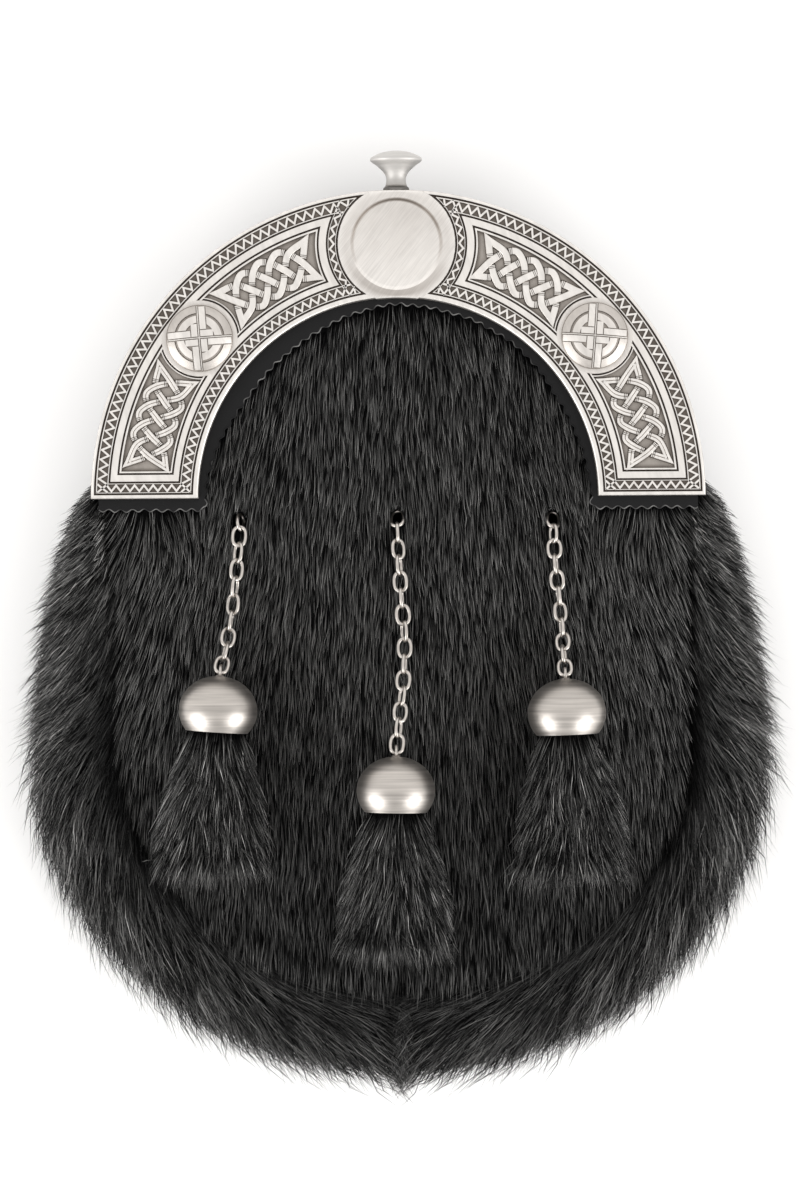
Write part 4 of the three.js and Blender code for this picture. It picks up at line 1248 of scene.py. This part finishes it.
def gusset_hairs(side, count, stations, rng, seed):
    """One layer of the gusset's hair with its tone."""
    along = rng.uniform(-9, SEAM_END + 1, count)
    row = rng.beta(1.0, 1.35, count) * 10.4
    flat = np.column_stack([along, row * ROLL_STEP])
    sweep = read_table(SWEEP, along) + np.interp(row, [3, 6], [0, 14])
    low = np.interp(along, [85, 130], [0, 1])
    sweep += (read_table(LOW_SWEEP, row) - sweep) * low
    sweep = sweep + 6 * ripple(flat, 30, 31) + 3 * ripple(flat, 6, 32 + seed) + rng.normal(0, 8, count)
    sweep = np.radians(np.clip(sweep, 0, 85))
    long = rng.uniform(7.5, 14, count) * read_table(HAIR_GROWS, along)
    step = np.minimum(long * np.cos(sweep), SEAM_END + 0.5 - along + rng.uniform(0, 2.2, count))
    around = long * np.sin(sweep) / ROLL_STEP
    end_swell = np.clip(rng.normal(1.02, 0.12, count), 0.86, 1.38)
    last = len(ROLL) - 1
    places = []
    for share in np.linspace(0, 1, stations):
        rise = math.sin(share * math.pi / 2)
        swell = CORE - 0.03 + rise * (end_swell - CORE + 0.03)
        places.append(roll_place(along + share * step, np.minimum(row + share * around * 0.8, last), swell, side))
    bright = sheen_painted_tones(rng, count, 0.575) * (1 + 0.36 * ripple(flat, 2.2, 34))
    bright = np.clip(bright + 0.1 * ripple(flat, 12, 33), 0.02, 1)
    # Painted shade: hairs in the valley by the seam darker, except near the top of the seam
    bright *= 1 - read_table(VALLEY_SHADE, row) * np.interp(along, [14, 45], [0, 1])
    bright *= np.interp(along, [90, 150], [1, 0.84])
    return np.stack(places), bright


def gusset_fur(side):
    """Long hair that leaves the seam, sweeps out and down, and meets in a point at the bottom."""
    rng = np.random.default_rng(7 if side > 0 else 8)
    layers = []
    for seed, (count, stations, widths) in enumerate(zip(SIDE_HAIRS, (3, 2), ((0.2, 0.32), (0.18, 0.3)))):
        places, bright = gusset_hairs(side, count, stations, rng, seed)
        width = rng.uniform(*widths, count)
        layers.append(spikes(places, width, hair_tones(bright, stations), rng))
    return join(layers)


TASSEL_HAIRS = (2000, 6200)
# Underfur in a brush by drop below the bell's middle: its share of the brush's size
BRUSH_CORE = [(1, 0.82), (24, 0.82), (30, 0.74), (34, 0.58), (37, 0.32), (38.5, 0.04)]


def brush_place(drop, down, angle, swell):
    """Point on a tassel's brush: down from the bell's middle, round it, and out by a share of its size."""
    middle = bell_place(drop)
    lean = math.radians(drop["lean"])
    wide, thick = (read_table(BRUSH, down, column) for column in (1, 2))
    x = middle[0] + math.sin(lean) * down
    y = middle[1] - math.cos(lean) * down
    rest = face_height(x, y) + thick + 1.2
    centre = np.interp(down, [4, 14], [1, 0]) * (middle[2] - rest) + rest
    return np.stack([x + swell * wide * np.cos(angle), y + 0 * angle, centre + swell * thick * np.sin(angle)], axis=-1)


def tassel_core(drop):
    """Dark underfur of a tassel, rounded off inside the hem."""
    angle = circle(40)
    down = np.linspace(BRUSH_CORE[0][0], BRUSH_CORE[-1][0], 30)[:, None]
    return bridge(brush_place(drop, down + 0 * angle, angle + 0 * down, read_table(BRUSH_CORE, down)), 0.02)


def tassel_fur(drop, seed):
    """Hair of a tassel, in layers down to a ragged hem that it fills."""
    rng = np.random.default_rng(seed)
    layers = []
    for count, stations in zip(TASSEL_HAIRS, (3, 2)):
        down = rng.beta(1.15, 0.95, count) * 33 + 2.5
        angle = rng.uniform(0, 2 * math.pi, count)
        flat = np.column_stack([down, angle * 9])
        long = rng.uniform(6, 11, count)
        hem = 41.8 + 2.0 * ripple(flat[:, ::-1] * (1, 0), 12, seed + 50) + rng.normal(0, 2.2, count)
        end = np.minimum(down + long, hem)
        drift = (4 * ripple(flat, 16, seed + 60) + 3 * ripple(flat, 5, seed + 70) + rng.normal(0, 3, count)) / 45
        swell = np.clip(rng.normal(1.0, 0.07, count), 0.86, 1.22)
        within = 1 - rng.uniform(0, 0.95, count) ** 1.5 * np.interp(down, [22, 31], [0, 1])
        places = []
        for share in np.linspace(0, 1, stations):
            size = (0.8 + math.sin(share * math.pi / 2) * (swell - 0.8)) * within
            places.append(brush_place(drop, down + share * (end - down), angle + share * drift, size))
        # Painted highlight: hairs that end at the hem a little lighter
        bright = np.clip(sheen_painted_tones(rng, count, 0.42) + 0.03 * (end > 39), 0.04, 1)
        width = rng.uniform(0.18, 0.3, count)
        layers.append(spikes(np.stack(places), width, hair_tones(bright, stations), rng))
    return join(layers)


# Pieces

add_piece("cantle_relief", cantle(), CANTLE_METAL, ["cantle"], crease=28)
add_piece("cantle_roundel", roundel_disc(), DISH_METAL, crease=40)
add_piece("knob_turned", knob(), KNOB_METAL, ["clasp_knob"], crease=50)
add_piece("pinked_leather", backing(), LEATHER, ["leather_backing"], crease=35)
hide = add_piece("front_hide", front_hide(), HIDE_FUR, ["front_panel"], crease=40)
add_piece("front_hair", front_fur(), FUR)
add_piece("gusset_underfur", gusset_core(), HIDE_FUR, ["gusset"], crease=60)
add_piece("gusset_walls", gusset_walls(), LEATHER, crease=35)
add_piece("gusset_hair_right", gusset_fur(1), FUR)
add_piece("gusset_hair_left", gusset_fur(-1), FUR)
back_stitches = stitches(outline(60, 4.0), 3.6, BACK[0] + 0.05)
add_piece("back_leather", join([back_panel(), *back_stitches]), LEATHER, ["back_panel"], crease=35)
add_piece("keeper_leather", keeper(), LEATHER, ["strap_keeper"], crease=35)
for number, (name, drop) in enumerate(DROPS.items()):
    add_piece(f"links_{name}", chain(drop, number), CHAIN_METAL, [f"chain_{name}"], crease=60)
    add_piece(f"cap_{name}", bell(drop), BELL_METAL, [f"bell_{name}"], crease=45)
    add_piece(f"brush_core_{name}", tassel_core(drop), HIDE_FUR, [f"tassel_{name}"], crease=60)
    add_piece(f"brush_hair_{name}", tassel_fur(drop, 40 + number), FUR)


def pierce(piece):
    """Cuts the chains' holes through the front hide."""
    sides = circle(24)
    holes = [polar(CHAIN_HOLE, sides) + drop["hole"] for drop in DROPS.values()]
    drills = [bridge([at_height(hole, high) for high in (20, 45)]) for hole in holes]
    cutter = add_object("drill", join(drills), LEATHER, crease=40)
    modifier = piece.modifiers.new("holes", "BOOLEAN")
    modifier.object = cutter
    modifier.operation = "DIFFERENCE"
    bpy.context.view_layer.update()
    cut = bpy.data.meshes.new_from_object(piece.evaluated_get(bpy.context.evaluated_depsgraph_get()))
    piece.modifiers.clear()
    piece.data = cut
    bpy.data.objects.remove(cutter)


pierce(hide)


# Stage, light and camera


# Metres from the floor's middle to its edge
FLOOR_HALF = 4


def stage_floor():
    finish = Finish("pale_floor", Roughness=0.8, Specular_IOR_Level=0.1)
    shade = finish.noise(3, detail=1.0)
    colour = finish.ramp(shade, [(0.0, (0.92, 0.915, 0.91)), (1.0, (0.95, 0.945, 0.94))])
    finish.drive("Base Color", colour)
    mesh = bpy.data.meshes.new("floor")
    corners = [(x * FLOOR_HALF, y * FLOOR_HALF, 0) for x, y in ((-1, -1), (1, -1), (1, 1), (-1, 1))]
    mesh.from_pydata(corners, [], [(0, 1, 2, 3)])
    mesh.materials.append(finish.material)
    floor = show(bpy.data.objects.new("floor", mesh))
    floor.location.z = -0.0002


def softbox(name, where, size, power):
    data = bpy.data.lights.new(name, "AREA")
    data.shape = "RECTANGLE"
    data.size, data.size_y = size
    data.energy = power
    light = show(bpy.data.objects.new(name, data))
    light.location = where
    light.rotation_mode = "QUATERNION"
    light.rotation_quaternion = (Vector((0, 0, 0.03)) - Vector(where)).to_track_quat("-Z", "Y")


def studio():
    """White room, brighter beyond the clasp, with a softbox low at each side of the foot."""
    world = bpy.data.worlds.new("studio")
    world.use_nodes = True
    nodes, links = world.node_tree.nodes, world.node_tree.links
    background = nodes["Background"]
    background.inputs["Color"].default_value = (1, 0.99, 0.98, 1)
    way = nodes.new("ShaderNodeSeparateXYZ")
    links.new(nodes.new("ShaderNodeTexCoord").outputs["Generated"], way.inputs["Vector"])
    level = nodes.new("ShaderNodeMapRange")
    for socket, value in (("From Min", -0.8), ("From Max", 0.8), ("To Min", 0.78), ("To Max", 1.4)):
        level.inputs[socket].default_value = value
    links.new(way.outputs["Y"], level.inputs["Value"])
    links.new(level.outputs["Result"], background.inputs["Strength"])
    bpy.context.scene.world = world
    softbox("softbox_left", (-0.9, -0.62, 0.42), (0.9, 0.75), 10)
    softbox("softbox_right", (0.86, -0.62, 0.5), (0.9, 0.75), 10)
    bpy.context.scene.view_settings.view_transform = "Standard"


def camera():
    data = bpy.data.cameras.new("camera")
    data.sensor_width = SENSOR
    data.lens = SENSOR * (CAMERA_HIGH - CANTLE_BACK - FACE_HIGH) / (IMAGE_HIGH * PIXEL)
    data.clip_start, data.clip_end = 0.05, 20
    eye = show(bpy.data.objects.new("camera", data))
    x = (IMAGE_WIDE / 2 - CENTRE_PIXEL[0]) * PIXEL
    y = (CENTRE_PIXEL[1] - IMAGE_HIGH / 2) * PIXEL
    eye.location = place((x, y, CAMERA_HIGH))
    eye.rotation_euler = (0, 0, math.radians(-CAMERA_ROLL))
    bpy.context.scene.camera = eye


stage_floor()
studio()
camera()
